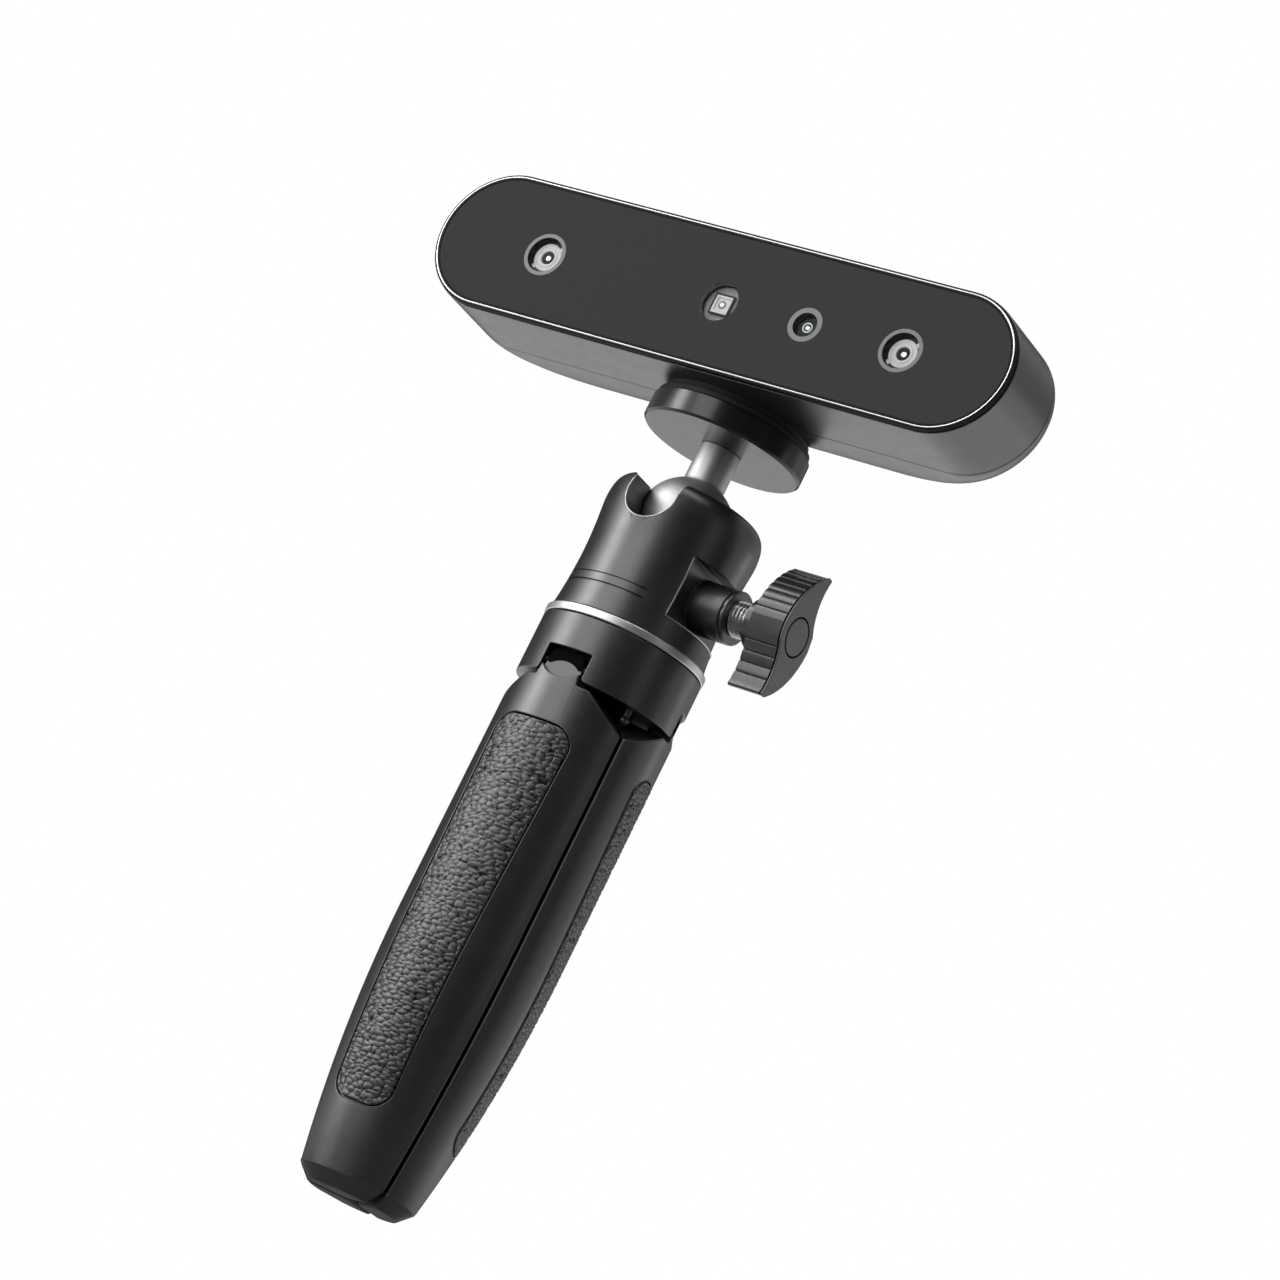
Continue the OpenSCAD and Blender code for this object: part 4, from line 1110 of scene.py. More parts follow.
@dataclass
class BallHousing:
    """The ball's housing with its drop notch, the facet and the lock screw's boss."""

    foot: float = 137.6
    waist: float = 17.65
    flare: float = 18.4
    shoulder: float = 164.6
    top: float = 174.6
    socket: float = 11.3
    cup_room: float = 13.6
    notch: float = 6.35
    notch_top: float = 170.7
    facet: tuple[float, float, float] = (13.8, 142.8, 157.8)
    boss: float = 6.2
    boss_end: float = 23.6
    grooves: tuple[float, float] = (144.0, 146.1)
    side: tuple[tuple[float, float], ...] = ((0.97, 0.12), (0.55, 3.5), (0.15, 9), (0, 15), (0.25, 21))
    crown: tuple[tuple[float, float], ...] = (
        (0, 0), (0.05, 2.5), (0.34, 4.4), (0.95, 5.9), (1.8, 6.9), (2.9, 7.5), (4.4, 7.75), (6.0, 7.4),
        (7.5, 6.95)
    )

    def profile(self) -> list[Vector]:
        """Gives the housing's outline with its inner spaces, smoothed on the outside."""
        coarse = [Vector((self.waist + out, self.foot + z)) for out, z in self.side]
        coarse += [Vector((self.flare - back, self.shoulder + z)) for back, z in self.crown]
        skin = []
        for index in range(len(coarse) - 1):
            before, after = coarse[max(0, index - 1)], coarse[min(len(coarse) - 1, index + 2)]
            start, end = coarse[index], coarse[index + 1]
            for step in range(5):
                skin.append(self.between(before, start, end, after, step / 5))
        ball = (0, BALL_HEIGHT)
        inner = [
            *arc(ball, self.socket, 15, -24.3, 11), *arc(ball, self.cup_room, -20, -70.4, 12), (4.55, 146.5),
            (3.05, 146.5), (3.05, 141.8), (12.5, 141.8), (12.5, self.foot + 0.02)
        ]
        return skin + [coarse[-1]] + vectors(*inner)

    def radius_at(self, z: float) -> float:
        """Gives the housing's outer radius at a height."""
        steps = [(self.foot + up, self.waist + out) for out, up in self.side]
        steps += [(self.shoulder + up, self.flare - back) for back, up in self.crown]
        for (low, start), (high, end) in zip(steps, steps[1:]):
            if low <= z <= high:
                return start + (end - start) * (z - low) / (high - low)
        return steps[-1][1]

    def on_skin(self, x: float, z: float) -> Vector:
        """Gives the point of the housing's front at a place in X and Z."""
        return Vector((x, -math.sqrt(self.radius_at(z) ** 2 - x * x), z))

    def bead(self, name: str, path: Sequence[Vector], radius: float) -> None:
        """Builds and dresses a fine bead along a path on the skin, in a bright metal finish that paints a
        highlight along the edge.
        """
        outward = [Vector((point.x, point.y, 0)).normalized() for point in path]
        Form.tube(name, path, outward, radius).dress(Finishes.HIGHLIGHT_BEAD, "handle", "satin_black")

    def build_beads(self) -> None:
        """Builds the beads that paint a highlight along the edges of the facet and of the drop notch."""
        facet_x, low, high = self.facet
        fall = low - high + 0.5
        path = [self.on_skin(facet_x - 0.02, high - 0.3 + fall * step / 24) for step in range(25)]
        radius = self.radius_at(low)
        limit = math.degrees(math.acos(facet_x / radius))
        for step in range(1, 20):
            angle = math.radians(-limit + 2 * limit * step / 19)
            path.append(Vector((radius * math.cos(angle), radius * math.sin(angle), low + 0.02)))
        self.bead("facet_edge", path, 0.19)
        edge = [(-self.notch, self.notch_top - 0.4 * step) for step in range(6)]
        edge += [point[:2] for point in arc((0, BALL_HEIGHT), self.notch, 176, 325, 40)]
        path = [self.on_skin(x, z) + Vector((0, 0.08, 0)) for x, z in edge]
        self.bead("notch_edge", path, 0.16)

    def between(self, before: Vector, start: Vector, end: Vector, after: Vector, share: float) -> Vector:
        """Gives a point on a smooth curve from start to end, led by the points before and after."""
        square, cube = share * share, share * share * share
        return 0.5 * (
            2 * start + (end - before) * share + (2 * before - 5 * start + 4 * end - after) * square
            + (3 * start - before - 3 * end + after) * cube
        )

    def boss_form(self, start: float) -> Form:
        """Makes the boss from a place along X to its grooved end."""
        radius, end = self.boss, self.boss_end - start
        corners = [(radius, 0, 0), (radius, end - 1.35, 0.1), (radius - 0.4, end - 1.3, 0),
                   (radius - 0.4, end - 1.0, 0), (radius, end - 0.95, 0.1), (radius, end, 0.35),
                   (radius - 1.2, end, 0)]
        at = (start, 0, LOCK_HEIGHT)
        return Form.turned("boss", rounded(corners), turn=Turn.ALONG_X, at=at, segments=96)

    def build(self) -> None:
        """Builds and dresses the housing."""
        housing = Form.turned("ball_housing_shell", self.profile(), looped=True, segments=192)
        facet_x, low, high = self.facet
        housing.cut(Form.block("facet", (facet_x, -20, low), (30, 20, high)))
        half, above = self.notch, self.top + 6
        slot = vectors((-half, above), *arc((0, BALL_HEIGHT), half, 180, 360, 40), (half, above))
        housing.cut(Form.extruded("slot", slot, -25, -2))
        start, rise, side, above = self.notch_top, 0.416, 22, 190
        slope = vectors((-half, start), (-side, start + rise * (side - half)), (-side, above),
                        (0.5 - half, above), (0.5 - half, start))
        housing.cut(Form.extruded("slope", slope, -25, 0))
        housing.add(self.boss_form(facet_x - 1))
        bore = vectors((3.05, 0), (3.05, 32))
        housing.cut(Form.turned("bore", bore, turn=Turn.ALONG_X, at=(-6.5, 0, LOCK_HEIGHT), segments=64))
        housing.soften(0.24, angle=33, steps=3)
        for height in self.grooves:
            housing.cut(self.groove(height))
        housing.dress(Finishes.HOUSING, "handle", "satin_black", ["ball_housing"])
        self.build_beads()

    def groove(self, height: float) -> Form:
        """Makes the cutter of a groove, which runs part of the way round."""
        inner, outer = self.waist - 0.25, 19.5
        section = [(inner, -0.2), (outer, -0.5), (outer, 0.5), (inner, 0.2)]
        rings = []
        for degrees in range(170, 301, 2):
            angle = math.radians(degrees)
            out = Vector((math.cos(angle), math.sin(angle), 0))
            rings.append([out * radius + Vector((0, 0, height + up)) for radius, up in section])
        return Form.loft("groove", rings)


@dataclass
class BallHead:
    """The ball with its stem, and the platform that turns on it."""

    ball_radius: float = 11.0
    stem: float = 4.85
    stem_top: float = 186.2
    spigot: float = 3.2
    spigot_top: float = 189.8
    disc_low: float = 186.3
    disc_high: float = 192.1
    disc_radius: float = 19.2
    pad_radius: float = 18.6
    pad_top: float = 195.1
    bore: float = 3.25

    def build(self) -> None:
        """Builds and dresses the ball with its stem, the disc and the rubber pad."""
        ball = arc((0, BALL_HEIGHT), self.ball_radius, -88, 63.2, 60)
        stem = [(self.stem, BALL_HEIGHT + 10.3, 0.5), (self.stem, self.stem_top, 0),
                (self.spigot, self.stem_top, 0), (self.spigot, self.spigot_top, 0)]
        Form.turned("ball_and_stem", rounded([*ball, *stem]), segments=144).dress(
            Finishes.BALL, "ball_stud", "stud_metal", ["ball_stem"]
        )
        low, high, edge = self.disc_low, self.disc_high, self.disc_radius
        bore = self.bore
        disc = [(bore, low, 0), (edge - 0.55, low, 0.12), (edge, low + 0.55, 0.12), (edge, high - 0.3, 0.15),
                (edge - 0.3, high, 0.15), (bore, high, 0), (bore, low + 2.9, 0), (5.2, low + 2.9, 0),
                (5.2, low + 1.6, 0), (bore, low + 1.6, 0)]
        platform = Form.ring("platform", disc, segments=192)
        platform.dress(Finishes.DISC, "scanner", "disc_black", ["platform_disc"])
        edge, top = self.pad_radius, self.pad_top
        pad = [(bore, high + 0.02, 0), (edge, high + 0.02, 0.2), (edge, high + 1.5, 0.4),
               (edge - 1, high + 1.5, 0.15), (edge - 1, top, 0.1), (bore, top, 0)]
        rubber = Form.ring("platform_rubber", pad, segments=160)
        rubber.dress(Finishes.PAD, "scanner", "pad_rubber", ["platform_pad"])


@dataclass
class LockKnob:
    """The winged knob of the lock screw, with its cap and its threaded collar."""

    face: float = 39.6
    back: float = 30.2
    hub: float = 6.3
    back_arc: tuple[float, float, float] = (11.5, 0.5, 18.1)
    hollow_arc: tuple[float, float, float] = (16.3, 11.7, 13.75)
    span: float = 15.6
    pitch: float = 2.45
    notch_depth: float = 0.36
    scallop: float = 0.14
    cap: float = 4.25
    cap_depth: float = 1.15
    collar: tuple[float, float] = (23.75, 28.7)
    collar_radius: float = 4.2
    collar_bore: float = 3.0
    thread_pitch: float = 0.95
    thread_depth: float = 0.32

    def wing_side(
        self, curve: Sequence[float], start: float, end: float, grown: float, notched: bool
    ) -> list[Corner]:
        """Gives one curved side of a wing, as flat bands between notches or as a smooth curve.

        Args:
            curve: The side's centre in Y and Z and its radius.
            start: The angle that it starts at, in degrees.
            end: The angle that it ends at.
            grown: What is added to the radius, and the way that the notches go by its sign.
            notched: Whether it has notches.

        Returns:
            The corners.
        """
        centre, radius = curve[:2], curve[2] + grown
        bands = max(1, round(abs(math.radians(end - start)) * radius / self.pitch))
        if not notched:
            return arc(centre, radius, start, end, bands * 5)
        inward = math.copysign(1, grown)
        band = (end - start) / bands
        corners = []
        for index in range(bands):
            middle = start + band * (index + 0.5)
            if index:
                notch = middle - band / 2
                corners += arc(centre, radius + inward * (self.scallop + self.notch_depth), notch, notch, 0)
            for share in (-0.84, -0.5, 0.0, 0.5, 0.84):
                place = middle + band / 2 * share
                corners += arc(centre, radius + inward * self.scallop * share * share, place, place, 0)
        return corners

    def outline(self, inset: float, notched: bool) -> list[Vector]:
        """Gives the knob's outline in Y and Z about the screw's axis.

        Args:
            inset: How far it is drawn in.
            notched: Whether it has the grip notches.

        Returns:
            The points.
        """
        span = self.span - inset
        tips = []
        for curve, grown in ((self.back_arc, -inset), (self.hollow_arc, inset)):
            rise = math.degrees(math.asin((span - curve[1]) / (curve[2] + grown)))
            tips.append(180 - rise)
        wing = self.wing_side(self.back_arc, 180, tips[0] + 3.5, -inset, notched)
        for curve, grown, tip, edge in (
            (self.back_arc, -inset, tips[0], 0.5), (self.hollow_arc, inset, tips[1], 0.7)
        ):
            across, along, _ = arc(curve[:2], curve[2] + grown, tip, tip, 0)[0]
            wing.append((across, along, edge))
        wing += self.wing_side(self.hollow_arc, tips[1] + 5, 221, inset, notched)
        return rounded(wing + [(-y, -z, edge) for y, z, edge in wing], closed=True, steps=5)

    def plate(self, name: str, inset: float, notched: bool, near: float, far: float) -> Form:
        """Makes a plate of the knob's outline between two places along X."""
        return Form.extruded(
            name, self.outline(inset, notched), near, far, lambda y, z, x: Vector((x, y, z + LOCK_HEIGHT))
        )

    def build(self) -> None:
        """Builds and dresses the knob, its cap and its collar."""
        knob = self.plate("wing_knob_body", 0.14, True, self.back, self.face - 0.95).soften(0.08, angle=50)
        knob.dress(Finishes.KNOB, "lock_knob", "knob_black", ["wing_knob"])
        # The core shows in the groove between the knob's body and its face; its matt black is painted shade
        # in that groove.
        core = self.plate("wing_knob_core", 1.2, False, self.face - 1.2, self.face - 0.2)
        core.dress(Finishes.MATT_BLACK_AND_SHADE, "lock_knob", "knob_black")
        rim = self.plate("wing_knob_face", 0.001, False, self.face - 0.45, self.face)
        well = vectors((self.cap + 0.42, 0), (self.cap + 0.42, 3))
        at = (self.face - 1.2, 0, LOCK_HEIGHT)
        rim.cut(Form.turned("well", well, turn=Turn.ALONG_X, at=at, segments=96))
        rim.soften(0.12, angle=50, steps=3).dress(Finishes.KNOB_FACE, "lock_knob", "knob_black")
        bore, radius, depth = self.collar_bore, self.hub - 0.3, 2.6
        corners = [(bore, 0, 0), (self.hub - 1.2, 0, 0), (radius, 0, 0.25), (radius, depth, 0),
                   (bore, depth, 0)]
        at = (self.back - 1.6, 0, LOCK_HEIGHT)
        neck = Form.ring("wing_knob_neck", corners, turn=Turn.ALONG_X, at=at, segments=96)
        neck.dress(Finishes.KNOB, "lock_knob", "knob_black")
        radius, depth = self.cap, self.cap_depth
        outline = rounded([(0.2, 0, 0), (radius, 0, 0), (radius, depth, 0.14), (0.2, depth, 0)])
        at = (self.face - depth, 0, LOCK_HEIGHT)
        cap = Form.turned("knob_end_cap", outline, turn=Turn.ALONG_X, at=at, segments=96)
        cap.dress(Finishes.KNOB_FACE, "lock_knob", "knob_black", ["knob_cap"])
        self.thread().dress(Finishes.BUSH, "lock_knob", "bush_metal", ["screw_collar"])

    def thread(self) -> Form:
        """Makes the collar with its screw thread."""
        start, end = self.collar
        around, along = 96, 60
        rows = []
        for step in range(along + 1):
            x = start + (end - start) * step / along
            waves = [((x - start) / self.thread_pitch - index / around) % 1 for index in range(around)]
            depths = [min(1.0, max(0.0, 2.4 * abs(wave - 0.5) - 0.15)) for wave in waves]
            rows.append((x, [self.collar_radius - self.thread_depth * depth for depth in depths]))
        rows += [(x, [self.collar_bore] * around) for x in (end, start)]
        rings = []
        for x, radii in rows:
            ring = []
            for index, radius in enumerate(radii):
                angle = 2 * math.pi * index / around
                ring.append(Vector((x, radius * math.cos(angle), LOCK_HEIGHT + radius * math.sin(angle))))
            rings.append(ring)
        return Form.loft("threaded_collar", rings, looped=True)


@dataclass
class Head:
    """The bar-shaped head: its shells, bezel, camera windows and the controls on its back."""

    middle: tuple[float, float] = (-2.7, 212.2)
    length: float = 155.0
    height: float = 34.2
    wall: float = 1.8
    shell: tuple[float, float] = (-23.3, -3.2)
    dome_depth: float = 13.9
    dome_end: float = 33.0
    dome_edge: float = 2.0
    bezel_front: float = -24.8
    ledge: float = 0.66
    bezel_width: float = 0.38
    lens_drop: float = 0.6
    glass_back: float = -23.35
    buttons: dict[str, tuple[float, float]] = field(
        default_factory=lambda: {"start": (0, 5.5), "plus": (13, 3.5), "minus": (-13, 3.5)}
    )
    socket: tuple[float, float, float] = (36, 8.9, 3.2)
    light: tuple[float, float] = (-31, 1.3)
    posts: tuple[float, float] = (40, 10.2)
    post_bore: float = 2.05
    glass_gap: float = 0.12
    module_end: float = 10.2
    flange: tuple[float, float, float] = (6.2, 7.2, 2.9)
    depth_cameras: dict[str, float] = field(default_factory=lambda: {"left": -47.4, "right": 49.6})
    colour_camera: float = 24.4
    projector: float = 1.2

    def place(self, form: Form) -> Form:
        """Moves a form made about the head's middle to its place and returns it."""
        x, z = self.middle
        return form.move(Matrix.Translation((x, 0, z)))

    def bar(self, name: str, profile: Sequence[Vector], looped: bool = True) -> Form:
        """Makes a form of round-ended rings.

        Args:
            name: The form's name.
            profile: Each ring's inset from the head's outline and its place along Y.
            looped: Whether the last ring joins the first.

        Returns:
            The form.
        """
        rings = [stadium_ring(self.length, self.height, inset, y) for inset, y in profile]
        return self.place(Form.loft(name, rings, looped))

    def dome_ring(self, degrees: float, wall: float) -> list[Vector]:
        """Gives one ring of the dome, from 0 degrees at its rim to 90 at its back."""
        draw = 1 - math.cos(math.radians(degrees))
        y = self.shell[1] + (self.dome_depth - wall) * math.sin(math.radians(degrees))
        return stadium_ring(
            self.length - 2 * self.dome_end * draw, self.height - 2 * self.dome_edge * draw, wall, y
        )

    def rod(self, x: float, z: float, radius: float, start: float, end: float) -> Form:
        """Makes a rod along Y at a place on the head, for cutting with."""
        profile = vectors((radius, 0), (radius, end - start))
        return self.place(Form.turned("rod", profile, turn=Turn.ALONG_Y, at=(x, start, z), segments=64))

    def build_shells(self) -> None:
        """Builds and dresses the front shell and the domed cover."""
        front, back = self.shell
        edge = 0.28
        shell = rounded([(0, front, 0.16), (0, back, edge), (self.wall, back, 0), (self.wall, front + 0.7, 0),
                         (0.3, front + 0.7, 0), (0.26, front, 0.08)], closed=True, steps=4)
        self.bar("front_shell", shell).dress(Finishes.SHELL, "scanner", "shell_black", ["body_shell"])
        rim = [stadium_ring(self.length, self.height, inset, back + y)
               for inset, y in ((self.wall, 0.02), (edge, 0.02), (edge * 0.3, edge * 0.3))]
        skin = [self.dome_ring(degrees, 0) for degrees in (1.4, 4, *range(8, 88, 4), 87, 90)]
        lining = [self.dome_ring(degrees, self.wall) for degrees in range(0, 91, 9)]
        mouth = stadium_ring(self.length, self.height, self.wall, back - 1)
        depth = back + self.dome_depth
        cover = self.place(Form.loft("rear_dome", rim + skin))
        cover.cut(self.place(Form.loft("room", [mouth, *lining])))
        for x, radius in self.buttons.values():
            cover.cut(self.rod(x, 0, radius + 0.2, 0, depth + 2))
        x, width, height = self.socket
        slot = [stadium_ring(width + 0.3, height + 0.3, 0, y) for y in (0, depth + 2)]
        cover.cut(self.place(Form.loft("slot", slot).move(Matrix.Translation((x, 0, 0)))))
        x, radius = self.light
        cover.cut(self.rod(x, 0, radius, 0, depth + 2))
        across, up = self.posts
        for x, z in ((-across, -up), (-across, up), (across, -up), (across, up)):
            cover.cut(self.rod(x, z, self.post_bore, 0, depth + 2))
        cover.dress(Finishes.COVER, "scanner", "cover_grey", ["rear_cover"])

    def build_bezel(self) -> None:
        """Builds and dresses the bright bezel and the two matt black rings beside it: the outer one is
        painted shadow of the shell's rim, the inner one a black line by the glass.
        """
        outer, inner = self.ledge, self.ledge + self.bezel_width
        front, back = self.bezel_front, self.shell[0] + 0.02
        bezel = rounded([(outer, front, 0.16), (inner, front, 0.12), (inner, back, 0), (outer, back, 0)],
                        closed=True, steps=3)
        self.bar("bright_bezel", bezel).dress(Finishes.BEZEL, "scanner", "bezel", ["bezel_ring"])
        # The outer ring fills the gap between the shell's rim and the bezel with painted shadow.
        for name, start, end, near in (
            ("bezel_outer_shadow_ring", 0.22, outer - 0.005, front + 0.25),
            ("bezel_inner_trim", inner + 0.005, inner + 0.6, front + 0.06)
        ):
            trim = rounded([(start, near, 0.08), (end, near, 0.08), (end, back, 0), (start, back, 0)],
                           closed=True, steps=3)
            self.bar(name, trim).dress(Finishes.BLACK_TRIM_AND_SHADE, "scanner", "shell_black")

    def turned_at(
        self, name: str, x: float, profile: Sequence[Vector], y: float, looped: bool = True
    ) -> Form:
        """Makes a turned form whose axis is a lens's, with its heights counted towards the back.

        Args:
            name: The form's name.
            x: The lens's place along the head.
            profile: Its points of radius and height.
            y: The place along Y that heights are counted from.
            looped: Whether the profile closes on itself.

        Returns:
            The form.
        """
        at = (x, y, -self.lens_drop)
        return self.place(Form.turned(name, profile, looped, Turn.ALONG_Y, at, segments=72))

    def lens_centre(self, x: float) -> tuple[float, float]:
        """Gives the place in X and Z of the lens that is at x along the head."""
        return self.middle[0] + x, self.middle[1] - self.lens_drop

    def add_flange(self, form: Form, x: float) -> Form:
        """Joins the square flange at the back of a camera or of the projector on, and returns the form."""
        centre_x, centre_z = self.lens_centre(x)
        half, start, depth = self.flange
        near = self.glass_back + start
        low, high = (centre_x - half, near, centre_z - half), (centre_x + half, near + depth, centre_z + half)
        return form.add(Form.block("flange", low, high))

    def build_camera(self, side: str, x: float) -> None:
        """Builds and dresses one of the two depth cameras behind the glass.

        Args:
            side: The camera's side.
            x: Its place along the head.
        """
        face, end = self.glass_back + self.glass_gap, self.module_end
        barrel = rounded([(1.5, 0.9, 0), (1.7, 0, 0.08), (2.3, 0, 0.05), (2.35, 0.12, 0.05),
                          (2.95, 0.12, 0.05), (3.0, 0, 0.05), (3.5, 0, 0.15), (3.5, end, 0), (1.5, end, 0)],
                         closed=True, steps=3)
        camera = self.turned_at(f"{side}_camera_barrel", x, barrel, face)
        centre_x, centre_z = self.lens_centre(x)
        for degrees in (45, 225):
            tab = Form.block("tab", (-0.55, face + 0.02, 3.2), (0.55, face + 0.6, 4.1))
            tab.move(Matrix.Rotation(math.radians(degrees), 4, "Y"))
            camera.add(tab.move(Matrix.Translation((centre_x, 0, centre_z))))
        self.add_flange(camera, x)
        camera.dress(Finishes.CAMERA, "scanner", "camera_grey", [f"{side}_camera"])
        profile = vectors((0.1, 1.3), (0.65, 1.2), (1.46, 0.2), (1.49, 0.2), (1.49, 2.1), (0.1, 2.1))
        iris = self.turned_at(f"{side}_camera_iris", x, profile, face, looped=False)
        iris.dress(Finishes.MATT_BLACK_AND_SHADE, "scanner", "inner_black")
        self.build_lens(f"{side}_camera_lens", x, 0.62, face + 0.4)

    def build_lens(self, name: str, x: float, radius: float, y: float) -> None:
        """Builds and dresses one lens, a disc that bulges only slightly, in a mirror finish that gives a
        painted glint.

        Args:
            name: The lens's name.
            x: Its place along the head.
            radius: Its radius.
            y: The place along Y of its front.
        """
        angles = [math.radians(5 + 85 * step / 10) for step in range(11)]
        skin = [(radius * math.sin(angle), radius * 0.05 * (1 - math.cos(angle))) for angle in angles]
        lens = self.turned_at(name, x, vectors(*skin, (radius, 1.1), (0.1, 1.1)), y, looped=False)
        lens.dress(Finishes.GLINT, "scanner", "lens_glass", ["camera_lenses"])

    def build_annulus(self, name: str, x: float, radius: float, width: float) -> None:
        """Builds and dresses the printed ring round a window, just behind the glass's front.

        Args:
            name: The ring's name.
            x: Its place along the head.
            radius: The window's radius.
            width: The ring's width.
        """
        outer, inner, depth = radius - 0.03, radius - width, 0.06
        profile = vectors((inner, 0), (outer, 0), (outer, depth), (inner, depth))
        ring = self.turned_at(name, x, profile, self.bezel_front + 0.1)
        ring.dress(Finishes.PRINT, "scanner", "front_black")

    def build_front(self) -> None:
        """Builds and dresses what shows through the glass."""
        for side, x in self.depth_cameras.items():
            self.build_camera(side, x)
        for side, x in self.depth_cameras.items():
            self.build_annulus(f"{side}_window_print", x, 5.3, 0.95)
        self.build_annulus("colour_window_print", self.colour_camera, 4.2, 1.25)
        self.build_colour_camera(self.colour_camera)
        self.build_projector(self.projector)

    def build_colour_camera(self, x: float) -> None:
        """Builds and dresses the colour camera behind the glass."""
        face, end = self.glass_back + self.glass_gap, self.module_end
        barrel = rounded([(0.9, 0.9, 0), (1.3, 0.1, 0.1), (2.9, 0, 0.15), (2.95, end, 0), (0.9, end, 0)],
                         closed=True, steps=3)
        camera = self.add_flange(self.turned_at("colour_camera_barrel", x, barrel, face), x)
        camera.dress(Finishes.MATT_BLACK_AND_SHADE, "scanner", "inner_black", ["colour_camera"])
        outline = [(0.95, 0, 0.06), (1.25, 0, 0.06), (1.25, 0.5, 0), (0.95, 0.5, 0)]
        rim = self.turned_at("colour_lens_ring", x, rounded(outline, closed=True, steps=2), face - 0.1)
        rim.dress(Finishes.GUIDE, "scanner", "light_guide")
        self.build_lens("colour_camera_lens", x, 0.5, face + 0.1)

    def build_projector(self, x: float) -> None:
        """Builds and dresses the pattern projector behind the glass."""
        face, end = self.glass_back + self.glass_gap, self.module_end
        profile = vectors((1.4, 0.75), (4.6, 0.75), (4.6, end), (1.4, end))
        body = self.add_flange(self.turned_at("projector_body", x, profile, face), x)
        body.dress(Finishes.WELL, "scanner", "camera_grey", ["pattern_projector"])
        far = face + 1.1
        for name, outer, inner, near, edge, finish, slot in (
            ("projector_wall", 2.55, 2.2, face - 0.1, 0.08, Finishes.MATT_BLACK_AND_SHADE, "inner_black"),
            ("projector_frame", 2.18, 1.55, face, 0.1, Finishes.CAMERA, "camera_grey"),
            ("projector_plate", 1.54, 0.7, face + 0.25, 0.06, Finishes.CAMERA, "camera_grey")
        ):
            self.square_ring(name, x, outer, inner, near, far).soften(edge).dress(finish, "scanner", slot)
        outline = [(0.5, 0, 0.08), (0.98, 0, 0.12), (0.98, 0.4, 0), (0.5, 0.4, 0)]
        ring = self.turned_at("projector_lens_ring", x, rounded(outline, closed=True, steps=3), face + 0.08)
        ring.dress(Finishes.WELL, "scanner", "camera_grey")
        self.build_lens("projector_lens", x, 0.48, face + 0.1)

    def square_ring(self, name: str, x: float, outer: float, inner: float, near: float, far: float) -> Form:
        """Makes a square frame round a lens's axis, between two places along Y.

        Args:
            name: The form's name.
            x: The lens's place along the head.
            outer: Half its outer width.
            inner: Half its opening's width.
            near: Its front.
            far: Its back.

        Returns:
            The form.
        """
        x, z = self.lens_centre(x)
        ring = Form.block(name, (x - outer, near, z - outer), (x + outer, far, z + outer))
        return ring.cut(Form.block("hole", (x - inner, near - 1, z - inner), (x + inner, far + 1, z + inner)))

    def build_buttons(self) -> None:
        """Builds and dresses the three buttons on the back."""
        back = self.shell[1] + self.dome_depth
        for name, (x, radius) in self.buttons.items():
            start, face = back - self.wall - 1.2, back + 0.5
            depth = face - start
            lip = radius + 0.6
            corners = [(1.4, -2.6, 0), (1.4, 0, 0), (lip, 0, 0), (lip, 0.9, 0), (radius, 0.9, 0),
                       (radius, depth, 0.35), (radius * 0.75, depth - 0.12, 1.5), (0.1, depth - 0.25, 0)]
            button = self.place(Form.turned(
                f"{name}_key_top", rounded(corners, steps=6), turn=Turn.ALONG_Y, at=(x, start, 0), segments=96
            ))
            centre_x, centre_z = self.middle[0] + x, self.middle[1]
            bars = {"start": [], "plus": [(1.5, 0.22), (0.22, 1.5)], "minus": [(1.5, 0.22)]}[name]
            for half_x, half_z in bars:
                low = (centre_x - half_x, face - 0.6, centre_z - half_z)
                high = (centre_x + half_x, face - 0.05, centre_z + half_z)
                button.add(Form.block("mark", low, high))
            if name == "start":
                ring = vectors((1.5, 0), (1.95, 0), (1.95, 0.4), (1.5, 0.4))
                button.add(self.place(Form.turned("ring", ring, True, Turn.ALONG_Y, (x, face - 0.45, 0), 64)))
            button.dress(Finishes.BUTTON, f"{name}_key", "button_grey", [f"{name}_button"])

    def build(self) -> None:
        """Builds and dresses the whole head."""
        self.build_shells()
        self.build_bezel()
        self.build_front()
        self.build_buttons()


